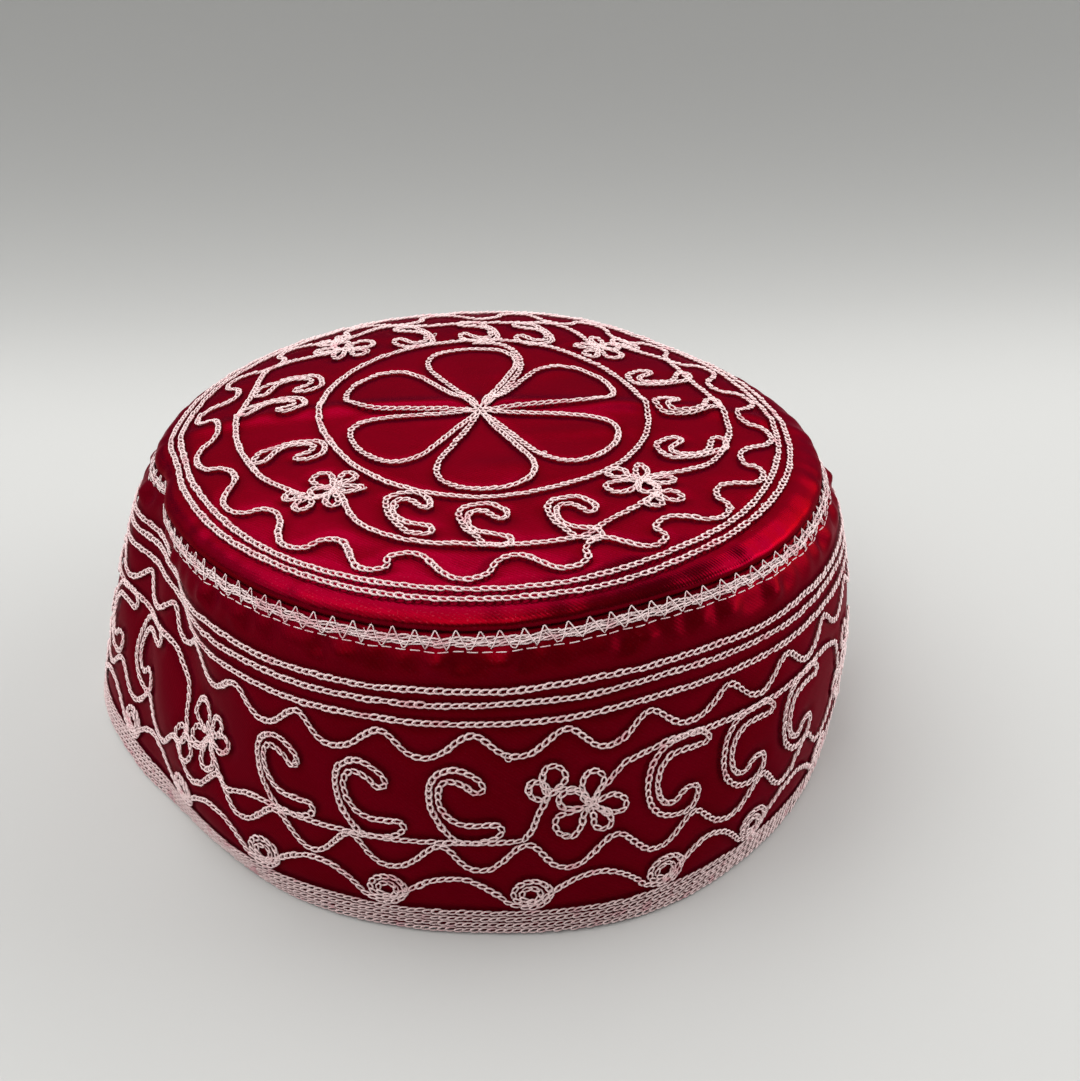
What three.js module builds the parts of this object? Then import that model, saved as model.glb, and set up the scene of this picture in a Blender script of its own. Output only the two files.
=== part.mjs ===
// A soft, round, brimless cap of red satin, standing on its open side as it does on a shelf.
// A round crown panel is sewn to a flared side band. Overcast stitches cover that seam, and rows of
// chain stitch bind the band's lower edge. The cap was stored folded flat, so its plan isn't quite
// round, its seam isn't quite level, and a valley is left in the band beside one corner.
// Millimetres, +Z up. The photographed side faces -Y, and angles run anticlockwise from +X.
import * as THREE from "three";

const DEGREE = Math.PI / 180;

// Driving sizes.
const CLOTH = 1.5; // satin, backing and the stitches through them
const GAP = 0.3; // between pieces that touch
const CROWN_TOP = 78.3; // height of the crown's middle, without the crease
const CROWN_SQUARENESS = 3.5; // 2 is a round dome, more is a flatter top with a tighter rim
const CENTRE = { x: 6.5, y: -5.3 }; // of the crown over the hem's centre
const CREASE = { height: 0.9, reach: 7 }; // the fold line left across the crown, from side to side
const SEAM_PINCH = 1.6; // how far the seam draws the cloth in
const PINCH_REACH = 4; // how far from the seam the cloth is drawn in
const SEAM_CORD = { out: 1.5, half: 1.7 }; // the overcast stitches' thickness and half height
const HEM_ROWS = { out: 1.1, lift: 0.3, gap: 0.4 }; // the stacked rows of chain stitch

// Steps of the mesh.
const AROUND = 96;
const CROWN_ROWS = 9;
// The band's rows, as shares of its height. The stitches on the hem reach up to the second.
const BAND_SHARES = [0, 0.1, 0.21, 0.33, 0.46, 0.59, 0.71, 0.82, 0.9, 0.96, 1];

// Upright sections through the middle, at equal angles from +X: the radius of the hem, the radius
// and height of the seam, and how far the band bulges between them.
const SECTIONS = [
  { hem: 92.0, seam: 77.7, height: 68.9, bulge: 3.9 },
  { hem: 91.6, seam: 77.0, height: 67.1, bulge: 3.6 },
  { hem: 90.9, seam: 77.6, height: 66.0, bulge: 3.0 },
  { hem: 90.6, seam: 79.6, height: 66.3, bulge: 2.7 },
  { hem: 90.9, seam: 81.1, height: 66.0, bulge: 2.4 },
  { hem: 91.6, seam: 82.1, height: 65.6, bulge: 2.2 },
  { hem: 92.4, seam: 81.8, height: 65.0, bulge: 2.0 },
  { hem: 92.7, seam: 80.4, height: 65.3, bulge: 1.8 },
  { hem: 91.4, seam: 78.4, height: 66.2, bulge: 1.6 },
  { hem: 84.3, seam: 76.1, height: 68.3, bulge: 1.4 },
  { hem: 82.7, seam: 78.0, height: 69.8, bulge: 2.9 },
  { hem: 88.3, seam: 81.6, height: 71.1, bulge: 3.2 },
  { hem: 92.4, seam: 84.3, height: 72.2, bulge: 2.7 },
  { hem: 96.9, seam: 84.2, height: 73.4, bulge: 2.9 },
  { hem: 94.9, seam: 84.0, height: 72.0, bulge: 4.2 },
  { hem: 91.0, seam: 80.4, height: 69.9, bulge: 4.6 },
];

// Valleys in the band: where each starts at the seam and ends at the hem, its half width in degrees,
// and its depth at the seam, halfway down and at the hem.
const VALLEYS = [{ top: 195, foot: 229, width: 8, seam: 5, middle: 9, hem: 1 }];

// The value of one column of SECTIONS at any angle, on a closed Catmull-Rom curve.
function section(column, angle) {
  const count = SECTIONS.length;
  const place = ((((angle / (2 * Math.PI)) % 1) + 1) % 1) * count;
  const first = Math.floor(place);
  const t = place - first;
  const [a, b, c, d] = [-1, 0, 1, 2].map((step) => SECTIONS[(first + step + count) % count][column]);
  return b + (t / 2) * (c - a + t * (2 * a - 5 * b + 4 * c - d + t * (3 * (b - c) + d - a)));
}

// How far the valleys draw the band in, at a share of the way from the hem to the seam.
function valleyDepth(angle, share) {
  let depth = 0;
  for (const v of VALLEYS) {
    const middle = (v.top * share + v.foot * (1 - share)) * DEGREE;
    const away = Math.atan2(Math.sin(angle - middle), Math.cos(angle - middle));
    const here = v.seam * share ** 2 + 2 * v.middle * share * (1 - share) + v.hem * (1 - share) ** 2;
    depth += here * Math.exp(-((away / (v.width * DEGREE)) ** 2));
  }
  return depth;
}

// The seam's own point, before the stitches draw it in.
function seamPoint(angle) {
  const radius = section("seam", angle) - valleyDepth(angle, 1);
  return new THREE.Vector3(
    CENTRE.x + radius * Math.cos(angle),
    CENTRE.y + radius * Math.sin(angle),
    section("height", angle),
  );
}

// A point on the band's outside, at a share of the way from the hem, 0, to the seam, 1.
function bandPoint(angle, share) {
  const hem = section("hem", angle);
  const top = section("seam", angle);
  const height = section("height", angle);
  const pinch = SEAM_PINCH * Math.exp(-(((1 - share) * height) / PINCH_REACH));
  const out = 4 * section("bulge", angle) * share * (1 - share) - valleyDepth(angle, share) - pinch;
  const x = (1 - share) * hem * Math.cos(angle) + share * (CENTRE.x + top * Math.cos(angle));
  const y = (1 - share) * hem * Math.sin(angle) + share * (CENTRE.y + top * Math.sin(angle));
  return new THREE.Vector3(x + out * Math.cos(angle), y + out * Math.sin(angle), share * height);
}

const MEAN_SEAM = SECTIONS.reduce((sum, row) => sum + row.height, 0) / SECTIONS.length;

// A point on the crown's outside. Its profile is a superellipse that turns from level in the middle,
// 0, to upright at the seam, a quarter turn.
function crownPoint(angle, turn) {
  const seam = seamPoint(angle);
  const share = Math.abs(Math.sin(turn)) ** (2 / CROWN_SQUARENESS);
  const rise = (CROWN_TOP - MEAN_SEAM) * Math.cos(turn);
  const lean = (seam.z - MEAN_SEAM) * share ** 2;
  const fromCrease = (seam.y - CENTRE.y) * share;
  const crease = CREASE.height * (1 - share ** 2) * Math.exp(-((fromCrease / CREASE.reach) ** 2));
  const pinch = SEAM_PINCH * Math.exp(-rise / PINCH_REACH) * share ** 8;
  const x = CENTRE.x + (seam.x - CENTRE.x) * share - pinch * Math.cos(angle);
  const y = CENTRE.y + (seam.y - CENTRE.y) * share - pinch * Math.sin(angle);
  return new THREE.Vector3(x, y, MEAN_SEAM + rise + lean + crease);
}

// The direction square to a surface given as a function of angle and row, pointing away from the cloth.
function outward(surface, angle, row) {
  const step = 1e-3;
  const along = surface(angle + step, row).sub(surface(angle - step, row));
  const up = surface(angle, row + step).sub(surface(angle, row - step));
  return along.cross(up).normalize();
}

// A closed ring of quads swept round the cap: section(angle) gives its corners in order,
// anticlockwise as seen looking along the sweep.
function sweptRing(sectionAt) {
  const points = [];
  const faces = [];
  const corners = sectionAt(0).length;
  for (let i = 0; i < AROUND; i++) points.push(...sectionAt((i / AROUND) * 2 * Math.PI));
  for (let i = 0; i < AROUND; i++) {
    for (let j = 0; j < corners; j++) {
      const a = i * corners + j;
      const b = i * corners + ((j + 1) % corners);
      const c = ((i + 1) % AROUND) * corners + ((j + 1) % corners);
      const d = ((i + 1) % AROUND) * corners + j;
      faces.push(a, d, c, a, c, b);
    }
  }
  return geometry(points, faces);
}

function geometry(points, faces) {
  const made = new THREE.BufferGeometry();
  made.setAttribute("position", new THREE.Float32BufferAttribute(points.flatMap((p) => p.toArray()), 3));
  made.setIndex(faces);
  made.computeVertexNormals();
  return made;
}

// The band: up its outside and down its inside, with level edges at the hem and at the seam.
function sideBand() {
  return sweptRing((angle) => {
    const outside = BAND_SHARES.map((share) => bandPoint(angle, share));
    const inside = BAND_SHARES.map((share, j) => {
      const n = outward(bandPoint, angle, share);
      if (share === 0 || share === 1) n.setZ(0).normalize();
      return outside[j].clone().addScaledVector(n, -CLOTH);
    });
    for (const wall of [outside, inside]) wall.at(-1).z -= GAP / 2;
    return [...outside, ...inside.reverse()];
  });
}

// The crown: rings from the middle out, closed by one point in the middle of each side.
function crownPanel() {
  const turns = Array.from({ length: CROWN_ROWS }, (_, j) => (Math.PI / 2) * ((j + 1) / CROWN_ROWS) ** 1.8);
  const points = [];
  const faces = [];
  const rows = 2 * CROWN_ROWS;
  for (let i = 0; i < AROUND; i++) {
    const angle = (i / AROUND) * 2 * Math.PI;
    const outside = turns.map((turn) => crownPoint(angle, turn));
    const inside = turns.map((turn, j) => {
      const n = outward(crownPoint, angle, turn).negate();
      if (j === CROWN_ROWS - 1) n.setZ(0).normalize();
      return outside[j].clone().addScaledVector(n, -CLOTH);
    });
    for (const wall of [outside, inside]) wall[CROWN_ROWS - 1].z += GAP / 2;
    points.push(...outside, ...inside.reverse());
  }
  const topPole = points.push(crownPoint(0, 0)) - 1;
  const underPole = points.push(crownPoint(0, 0).sub(new THREE.Vector3(0, 0, CLOTH))) - 1;
  for (let i = 0; i < AROUND; i++) {
    const here = i * rows;
    const next = ((i + 1) % AROUND) * rows;
    faces.push(topPole, here, next, underPole, next + rows - 1, here + rows - 1);
    for (let j = 0; j < rows - 1; j++) {
      faces.push(here + j, here + j + 1, next + j + 1, here + j, next + j + 1, next + j);
    }
  }
  return geometry(points, faces);
}

// A point pushed level out of the cloth by a distance.
function pushedOut(point, normal, distance) {
  return point.clone().addScaledVector(normal.clone().setZ(0).normalize(), distance);
}

// The overcast stitches: a low ridge that lies over the seam, half on the crown and half on the band.
function crownSeamStitching() {
  const { out, half } = SEAM_CORD;
  const crownTurn = Math.acos(half / (CROWN_TOP - MEAN_SEAM));
  return sweptRing((angle) => {
    const n = outward(bandPoint, angle, 1);
    const low = bandPoint(angle, 1 - half / section("height", angle));
    const seam = bandPoint(angle, 1);
    const high = crownPoint(angle, crownTurn);
    return [
      pushedOut(low, n, GAP),
      pushedOut(low, n, GAP + out / 2),
      pushedOut(seam, n, GAP + out),
      pushedOut(high, n, GAP + out / 2),
      pushedOut(high, n, GAP),
      pushedOut(seam, n, GAP),
    ];
  });
}

// The rows of chain stitch stacked on the outside of the band's lower edge, as one flat band.
function hemStitching() {
  const { out, lift, gap } = HEM_ROWS;
  return sweptRing((angle) => {
    const rows = BAND_SHARES.slice(0, 2);
    const [low, high] = rows.map((share) => bandPoint(angle, share));
    const [nLow, nHigh] = rows.map((share) => outward(bandPoint, angle, share));
    low.lerp(high, lift / high.z);
    return [
      pushedOut(low, nLow, gap),
      pushedOut(low, nLow, gap + out),
      pushedOut(high, nHigh, gap + out),
      pushedOut(high, nHigh, gap),
    ];
  });
}

const satin = new THREE.MeshStandardMaterial({ color: 0x8e0016, roughness: 0.35, metalness: 0 });
const thread = new THREE.MeshStandardMaterial({ color: 0xead7d6, roughness: 0.7, metalness: 0 });

function piece(name, shape, material) {
  const mesh = new THREE.Mesh(shape, material);
  mesh.name = name;
  return mesh;
}

const cap = new THREE.Group();
cap.name = "embroidered_cap";
cap.add(
  piece("crown_panel", crownPanel(), satin),
  piece("side_band", sideBand(), satin),
  piece("crown_seam_stitching", crownSeamStitching(), thread),
  piece("hem_stitching", hemStitching(), thread),
);

// The origin is the middle of the cap's outline seen from above, on the surface it stands on.
const extent = new THREE.Box3().setFromObject(cap);
cap.position.set(-(extent.min.x + extent.max.x) / 2, -(extent.min.y + extent.max.y) / 2, -extent.min.z);

export default cap;
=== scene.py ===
"""A soft brimless round cap of red satin, covered in white chain-stitch embroidery.

The cap stands on its hem. Its form is the same as the solids': a round crown panel sewn to a flared
side band, with the valley that storing it folded left in the band. Everything is worked out in
millimetres about the middle of the hem and put into metres in the frame when its mesh is made.
"""

from __future__ import annotations

import logging
import math
from dataclasses import dataclass, field, replace
from enum import Enum
from typing import Callable, Sequence

import bpy
import numpy as np
from bpy.types import ID, Material, Node, NodeSocket, NodeTree, Object
from mathutils import Matrix, Vector

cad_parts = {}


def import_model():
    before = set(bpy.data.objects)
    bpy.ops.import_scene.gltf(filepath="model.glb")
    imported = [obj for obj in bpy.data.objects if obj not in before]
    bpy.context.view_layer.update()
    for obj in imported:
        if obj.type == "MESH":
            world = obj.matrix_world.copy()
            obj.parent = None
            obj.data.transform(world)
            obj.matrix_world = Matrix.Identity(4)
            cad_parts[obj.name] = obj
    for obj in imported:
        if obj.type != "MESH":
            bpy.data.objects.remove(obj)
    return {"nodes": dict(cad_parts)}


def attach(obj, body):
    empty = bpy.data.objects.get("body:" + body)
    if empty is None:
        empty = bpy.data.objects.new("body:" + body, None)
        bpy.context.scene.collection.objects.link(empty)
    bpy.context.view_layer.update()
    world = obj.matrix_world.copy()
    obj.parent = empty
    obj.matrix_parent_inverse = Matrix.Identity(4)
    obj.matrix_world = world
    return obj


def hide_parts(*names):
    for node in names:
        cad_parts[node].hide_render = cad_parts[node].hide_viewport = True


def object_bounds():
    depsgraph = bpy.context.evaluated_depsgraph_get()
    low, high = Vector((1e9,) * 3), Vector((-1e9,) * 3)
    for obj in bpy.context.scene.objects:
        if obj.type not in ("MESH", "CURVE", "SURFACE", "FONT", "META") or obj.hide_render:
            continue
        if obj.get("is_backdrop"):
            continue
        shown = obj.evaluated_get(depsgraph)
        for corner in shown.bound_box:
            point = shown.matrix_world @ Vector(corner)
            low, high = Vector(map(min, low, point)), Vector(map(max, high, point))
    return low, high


log = logging.getLogger("cap")

Array = np.ndarray
Pair = tuple[float, float]
Triple = tuple[float, float, float]
Colour = Triple

MM = 0.001
TURN = 2 * math.pi
WALL = 68.0  # the band's usual height from hem to seam, in millimetres
CORNERS = ((0, 0), (1, 0), (1, 1), (0, 1))  # a quad's corners, as steps of its two parameters

# How high the stitches of a motif lie over the cloth, so that they pass over what they cross. One
# petal in three lies flat, and the next two are each a step higher.
PETAL_STEP = 0.05
LINK_LIFT = 0.12
CRESCENT_LIFT = 0.08


class Column(Enum):
    """The columns of the table of sections."""

    HEM = 0
    SEAM = 1
    HEIGHT = 2
    BULGE = 3


class Growth(Enum):
    """Which way a motif of the band grows: up from the lower vine or down from the upper one."""

    STANDING = 1
    HANGING = -1


# Upright sections through the middle, at equal angles from +X: the radius of the hem, the radius and
# height of the seam, and how far the band bulges between them. They come from a least squares fit to
# the photograph, rounded, and some were changed afterwards.
SECTIONS = np.array(
    [
        (92.3, 79.2, 67.6, 3.9),
        (91.6, 76.6, 66.3, 3.6),
        (90.9, 77.6, 64.6, 3.0),
        (90.6, 79.6, 66.3, 2.7),
        (90.9, 81.1, 66.0, 2.4),
        (91.6, 82.1, 65.6, 2.2),
        (92.4, 81.8, 65.0, 2.0),
        (92.7, 80.4, 65.3, 1.8),
        (91.4, 78.4, 66.2, 1.6),
        (84.3, 76.1, 68.3, 1.4),
        (82.7, 78.0, 69.8, 2.9),
        (88.3, 81.6, 71.1, 3.2),
        (92.4, 84.3, 72.2, 2.7),
        (96.9, 84.2, 73.4, 2.9),
        (95.0, 84.3, 72.0, 4.2),
        (92.9, 82.0, 69.9, 4.6),
    ]
)


def unit(vectors: Array) -> Array:
    """Each vector along the last axis divided by its length."""
    return vectors / np.maximum(np.linalg.norm(vectors, axis=-1, keepdims=True), 1e-12)


def stack(*parts: Array) -> Array:
    """Coordinates of equal shape joined along a new last axis."""
    return np.stack(np.broadcast_arrays(*parts), axis=-1)


def smoothstep(value: Array) -> Array:
    """0 below 0, 1 above 1, and an even S between: 3 v squared less 2 v cubed."""
    held = np.clip(value, 0.0, 1.0)
    return held * held * (3 - 2 * held)


def run_along(line: Array) -> Array:
    """How far along a line each of its points lies, from 0 at the first."""
    return np.concatenate([[0], np.cumsum(np.linalg.norm(np.diff(line, axis=0), axis=-1))])


@dataclass(frozen=True)
class Waviness:
    """Small unevenness of cloth: a sum of sine waves round the cap whose heights drift up the wall."""

    counts: tuple[int, ...]
    height: float
    drift: float
    seed: int

    def at(self, angle: Array, level: Array) -> Array:
        """How far the cloth stands out, in millimetres.

        The formula adds, for each count n, sin(n angle + phase + drift level) with a random share of
        the height, so that it closes on itself round the cap.

        Args:
            angle: Angles round the cap.
            level: Millimetres up the wall or out from the crown's middle.

        Returns:
            The offsets, of the same shape.
        """
        chance = np.random.default_rng(self.seed)
        total = np.zeros(np.broadcast(angle, level).shape)
        for count in self.counts:
            phase, share, lean = chance.uniform((0.0, 0.45, -1.0), (TURN, 1.0, 1.0))
            total = total + share * np.sin(count * angle + phase + lean * self.drift * level)
        return self.height * total / math.sqrt(len(self.counts))


@dataclass(frozen=True)
class Valley:
    """A fold that the band has sunk into, given from the seam down to the hem."""

    place: Triple
    width: Pair
    depths: tuple[float, float, float, float]

    def depth(self, angle: Array, share: Array) -> Array:
        """How far the fold draws the wall in.

        Across the fold the depth is a bell curve whose half width, in degrees, changes evenly down the
        wall. Its middle follows a parabola from the first place to the last, pulled towards the one
        between, and its depth a cubic Bezier curve that the four depths control.

        Args:
            angle: Angles round the cap.
            share: Shares of the way from the hem to the seam.

        Returns:
            Depths in millimetres.
        """
        rest = 1 - share
        head, waist, foot = self.place
        middle = np.radians(head * share**2 + 2 * waist * share * rest + foot * rest**2)
        wide = np.radians(self.width[0] * share + self.width[1] * rest)
        away = np.arctan2(np.sin(angle - middle), np.cos(angle - middle)) / wide
        seam, upper, lower, hem = self.depths
        along = seam * share**3 + 3 * upper * share**2 * rest + 3 * lower * share * rest**2 + hem * rest**3
        return along * np.exp(-(away**2))


@dataclass(frozen=True)
class Fold:
    """A soft ridge in the crown's cloth: its middle, heading, half length and width, and its height."""

    middle: Pair
    heading: float
    reach: Pair
    height: float

    def rise(self, x: Array, y: Array) -> Array:
        """How far the ridge lifts the cloth: a bell curve along it times one across it.

        Args:
            x: Places across the cap, in millimetres.
            y: Places from its front to its back.

        Returns:
            Heights in millimetres.
        """
        turn = math.radians(self.heading)
        east, north = x - self.middle[0], y - self.middle[1]
        along = (east * math.cos(turn) + north * math.sin(turn)) / self.reach[0]
        aside = (north * math.cos(turn) - east * math.sin(turn)) / self.reach[1]
        return self.height * np.exp(-(along**2) - aside**2)


@dataclass(frozen=True)
class CapForm:
    """The cap's whole outer form, as functions of the angle round it. Sizes are in millimetres.

    The seam draws the crown in by pinch and the band by gather. Bunching is the small pleats just
    under the seam, slack the slow unevenness of the cloth and puckers the short one near the seam.
    """

    crown_top: float = 78.3
    squareness: float = 3.5
    centre: Pair = (6.5, -5.3)
    crease: Pair = (0.4, 9.0)
    crease_edge: Pair = (0.95, 3.0)
    crease_line: Triple = (-3.5, 3.0, -9.5)
    crease_span: Pair = (75.0, 155.0)
    pinch: float = 2.4
    pinch_reach: float = 4.0
    gather: float = 2.4
    gather_reach: float = 3.4
    bunch_below: float = 5.2
    pucker_span: Pair = (2.5, 6.0)
    rim: Triple = (0.78, 0.2, 3.0)
    rim_puckers: Triple = (0.35, 0.7, 30.0)
    crown_slack: Pair = (0.8, 60.0)
    swelling: float = 0.7
    cloth: float = 1.5
    valleys: tuple[Valley, ...] = (
        Valley((189, 197, 216), (7.1, 8.6), (3.3, 4.6, 0, 1)),
        Valley((196, 225, 235), (12, 12), (0, 15.5, -9, 0.9)),
    )
    folds: tuple[Fold, ...] = (
        Fold((30, -17), 5, (14, 3), 0.3),
        Fold((22, 16), 10, (12, 3), 0.25),
        Fold((12.6, -34), 0, (9, 4.5), 0.5),
        Fold((-18, -58.5), -35, (8, 3), 0.5),
        Fold((-7, -67.5), 4, (12, 3.2), 0.5),
        Fold((6, -63.5), 20, (7, 3), 0.45),
    )
    slack: Waviness = Waviness((5, 8, 11, 14), 0.28, 0.05, 3)
    bunching: Waviness = Waviness((35, 52, 79), 0.95, 0.0, 21)
    puckers: Waviness = Waviness((41, 53, 68, 79), 0.34, 0.12, 8)

    def section(self, column: Column, angle: Array) -> Array:
        """One column of the table of sections at any angle, on a closed Catmull-Rom curve.

        Args:
            column: The column that is read.
            angle: Angles round the cap.

        Returns:
            Its values in millimetres.
        """
        count = len(SECTIONS)
        place = np.mod(angle / TURN, 1.0) * count
        first = np.floor(place).astype(int)
        t = place - first
        a, b, c, d = (SECTIONS[(first + step) % count, column.value] for step in (-1, 0, 1, 2))
        return b + t / 2 * (c - a + t * (2 * a - 5 * b + 4 * c - d + t * (3 * (b - c) + d - a)))

    def valley_depth(self, angle: Array, share: Array) -> Array:
        """How far all the valleys together draw the wall in, in millimetres."""
        return sum(valley.depth(angle, share) for valley in self.valleys)

    @property
    def seam_level(self) -> float:
        """The seam's mean height."""
        return float(SECTIONS[:, Column.HEIGHT.value].mean())

    @property
    def rise(self) -> float:
        """How far the crown's middle stands over the seam."""
        return self.crown_top - self.seam_level

    def band(self, angle: Array, share: Array) -> Array:
        """Points on the band's outside.

        The wall runs straight from hem to seam, plus a parabola for its bulge, less the valleys and
        less what the seam draws in, a bell curve of the distance to it. Where u is the fourth power of
        that distance over bunch_below, pleats stand out by u times e to the 1 - u. Slack stands out
        from all of that, and puckers do where the seam is near.

        Args:
            angle: Angles round the cap.
            share: Shares of the way from the hem, 0, to the seam, 1.

        Returns:
            Points in millimetres.
        """
        height = self.section(Column.HEIGHT, angle)
        below = (1 - share) * height
        pinch = self.gather * np.exp(-((below / self.gather_reach) ** 2))
        depth = (below / self.bunch_below) ** 4
        pinch = pinch - self.bunching.at(angle, 0.0) * depth * np.exp(1 - depth)
        out = 4 * self.section(Column.BULGE, angle) * share * (1 - share) - pinch
        out = out - self.valley_depth(angle, share)
        out = out + self.slack.at(angle, share * height) * np.sin(np.pi * np.clip(share, 0, 1)) ** 0.5
        grows, fades = self.pucker_span
        out = out + self.puckers.at(angle, below) * (smoothstep(below / grows) * np.exp(-below / fades))
        hem = (1 - share) * self.section(Column.HEM, angle) + out
        seam = share * self.section(Column.SEAM, angle)
        x = (hem + seam) * np.cos(angle) + share * self.centre[0]
        y = (hem + seam) * np.sin(angle) + share * self.centre[1]
        return stack(x, y, share * height)

    def crown(self, angle: Array, turn: Array) -> Array:
        """Points on the crown's outside.

        Its profile is a superellipse that turns from level in the middle, 0, to upright at the seam, a
        quarter turn. The crease and the small folds are added to its height. Slack lifts it more and
        more on the way out, and the rim puckers from where it starts to roll down until it nears the
        seam. Both push it out and up alike. What the seam draws in fades upwards exponentially.

        Args:
            angle: Angles round the cap.
            turn: How far the profile has turned down, in radians.

        Returns:
            Points in millimetres.
        """
        share = np.abs(np.sin(turn)) ** (2 / self.squareness)
        radius = self.section(Column.SEAM, angle) - self.valley_depth(angle, 1.0) * share**9
        rise = self.rise * np.cos(turn)
        lean = (self.section(Column.HEIGHT, angle) - self.seam_level) * share**2
        starts, grows, ends = self.rim
        gather = smoothstep((share - starts) / grows) * smoothstep(rise / ends)
        tall, drift = self.crown_slack
        loose = self.slack.at(angle, drift * share) * share**2 * np.clip(rise / self.rise, 0, 1)
        short, ahead, slide = self.rim_puckers
        swell = short * self.puckers.at(angle + ahead, slide * share) * gather + tall * loose
        drawn = self.pinch * np.exp(-rise / self.pinch_reach) * share**8
        out = radius * share + self.swelling * swell - drawn
        x = self.centre[0] + out * np.cos(angle)
        y = self.centre[1] + out * np.sin(angle)
        high = self.seam_level + rise + lean + self.creasing(x, y, share)
        return stack(x, y, high + self.swelling * swell)

    def creasing(self, x: Array, y: Array, share: Array) -> Array:
        """How far the crease from folding and the small folds lift the crown.

        The crease is a broad bell-shaped ridge with a sharper one on it. Its line over the crown is a
        parabola from the first value of crease_line to the last, pulled towards the middle one.
        crease_span says how far left of the middle it starts and how long it is.

        Args:
            x: Places across the cap, in millimetres.
            y: Places from its front to its back.
            share: Shares of the way out to the seam.

        Returns:
            Heights in millimetres.
        """
        start, length = self.crease_span
        way = (x + start) / length
        left, pull, right = self.crease_line
        away = y - left * (1 - way) ** 2 - 2 * pull * way * (1 - way) - right * way**2
        height = sum(tall * np.exp(-((away / wide) ** 2)) for tall, wide in (self.crease, self.crease_edge))
        return (1 - share**6) * (height + sum(fold.rise(x, y) for fold in self.folds))

    def turn_of(self, share: Array) -> Array:
        """The crown's turn at a share of the way from its middle to the seam, seen from above."""
        return np.arcsin(np.clip(share, 0.0, 1.0) ** (self.squareness / 2))

    def normal(self, surface: Callable[[Array, Array], Array], angle: Array, row: Array) -> Array:
        """Directions square to a surface, by differences between near points, pointing out of the cap.

        They point away from a spot inside the cap, at two fifths of the seam's height.

        Args:
            surface: One of this form's surfaces.
            angle: Angles round the cap.
            row: The surface's other parameter.

        Returns:
            Vectors of length one.
        """
        step = 1e-3
        along = surface(angle + step, row) - surface(angle - step, row)
        up = surface(angle, row + step) - surface(angle, row - step)
        found = unit(np.cross(along, up))
        middle = np.array([*self.centre, 0.4 * self.seam_level])
        inward = ((surface(angle, row) - middle) * found).sum(-1, keepdims=True) < 0
        return np.where(inward, -found, found)


@dataclass(frozen=True)
class Placing:
    """Puts millimetres of the form into metres of the shared frame, whose origin is under the band's box."""

    shift: Triple = (-0.47, 1.5, 0.0)

    def metres(self, points: Array) -> Array:
        """Points in metres of the shared frame."""
        return (points + np.array(self.shift)) * MM


def place_in_scene(name: str, data: ID) -> Object:
    """Makes an object that stands for some data.

    Args:
        name: Its name.
        data: A mesh, light or camera.

    Returns:
        The object, linked to the scene.
    """
    made = bpy.data.objects.new(name, data)
    bpy.context.scene.collection.objects.link(made)
    return made


def mark_vertices(piece: Object, name: str, values: Array, first: int) -> None:
    """Gives a piece's vertices a number each, for its material to read.

    Args:
        piece: The piece.
        name: The attribute's name.
        values: The numbers.
        first: The vertex that has the first of them. All the others have 0.
    """
    numbers = np.zeros(len(piece.data.vertices), np.float32)
    numbers[first : first + values.size] = values.ravel()
    piece.data.attributes.new(name, "FLOAT", "POINT").data.foreach_set("value", numbers)


@dataclass
class MeshParts:
    """Vertices, faces and texture coordinates gathered for one mesh."""

    points: list[Array] = field(default_factory=list)
    faces: list[Array] = field(default_factory=list)
    places: list[Array] = field(default_factory=list)
    slots: list[Array] = field(default_factory=list)
    depths: list[Array] = field(default_factory=list)
    count: int = 0

    def vertices(self, points: Array, depths: Array | None = None) -> int:
        """Adds vertices and gives the number of the first.

        Args:
            points: Where they are, in millimetres.
            depths: How deep in a stitch each one lies, from 0 on top to 1, where the mesh is of thread.

        Returns:
            The number.
        """
        first = self.count
        self.points.append(points.reshape(-1, 3))
        if depths is not None:
            self.depths.append(np.broadcast_to(depths, points.shape[:-1]).ravel())
        self.count += len(self.points[-1])
        return first

    def fill(self, faces: Array, places: Array, slot: int = 0) -> None:
        """Adds faces between vertices that are there already.

        Args:
            faces: Vertex numbers, four or three to a face.
            places: A texture coordinate for each corner of each face.
            slot: The material slot of all these faces.
        """
        self.faces.append(faces)
        self.places.append(places.reshape(-1, 2))
        self.slots.append(np.full(len(faces), slot, np.int32))

    def build(self, name: str, placing: Placing, materials: Sequence[Material]) -> Object:
        """Makes the object, smooth shaded, with its texture coordinates in a map called cloth_mm.

        Args:
            name: The piece's name.
            placing: What puts its points into the frame.
            materials: The materials of its slots.

        Returns:
            The new object, linked to the scene.
        """
        points = placing.metres(np.concatenate(self.points))
        corners = np.concatenate([part.ravel() for part in self.faces]).astype(np.int32)
        sizes = np.concatenate([np.full(len(part), part.shape[1]) for part in self.faces])
        mesh = bpy.data.meshes.new(name)
        mesh.vertices.add(len(points))
        mesh.vertices.foreach_set("co", points.astype(np.float32).ravel())
        mesh.loops.add(len(corners))
        mesh.loops.foreach_set("vertex_index", corners)
        mesh.polygons.add(len(sizes))
        starts = np.concatenate([[0], np.cumsum(sizes)[:-1]]).astype(np.int32)
        mesh.polygons.foreach_set("loop_start", starts)
        mesh.polygons.foreach_set("use_smooth", np.ones(len(sizes), bool))
        mesh.polygons.foreach_set("material_index", np.concatenate(self.slots))
        layer = mesh.uv_layers.new(name="cloth_mm")
        layer.data.foreach_set("uv", np.concatenate(self.places).astype(np.float32).ravel())
        for material in materials:
            mesh.materials.append(material)
        mesh.update(calc_edges=True)
        mesh.validate()
        made = place_in_scene(name, mesh)
        if self.depths:
            mark_vertices(made, "depth", np.concatenate(self.depths), 0)
        return made


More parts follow.
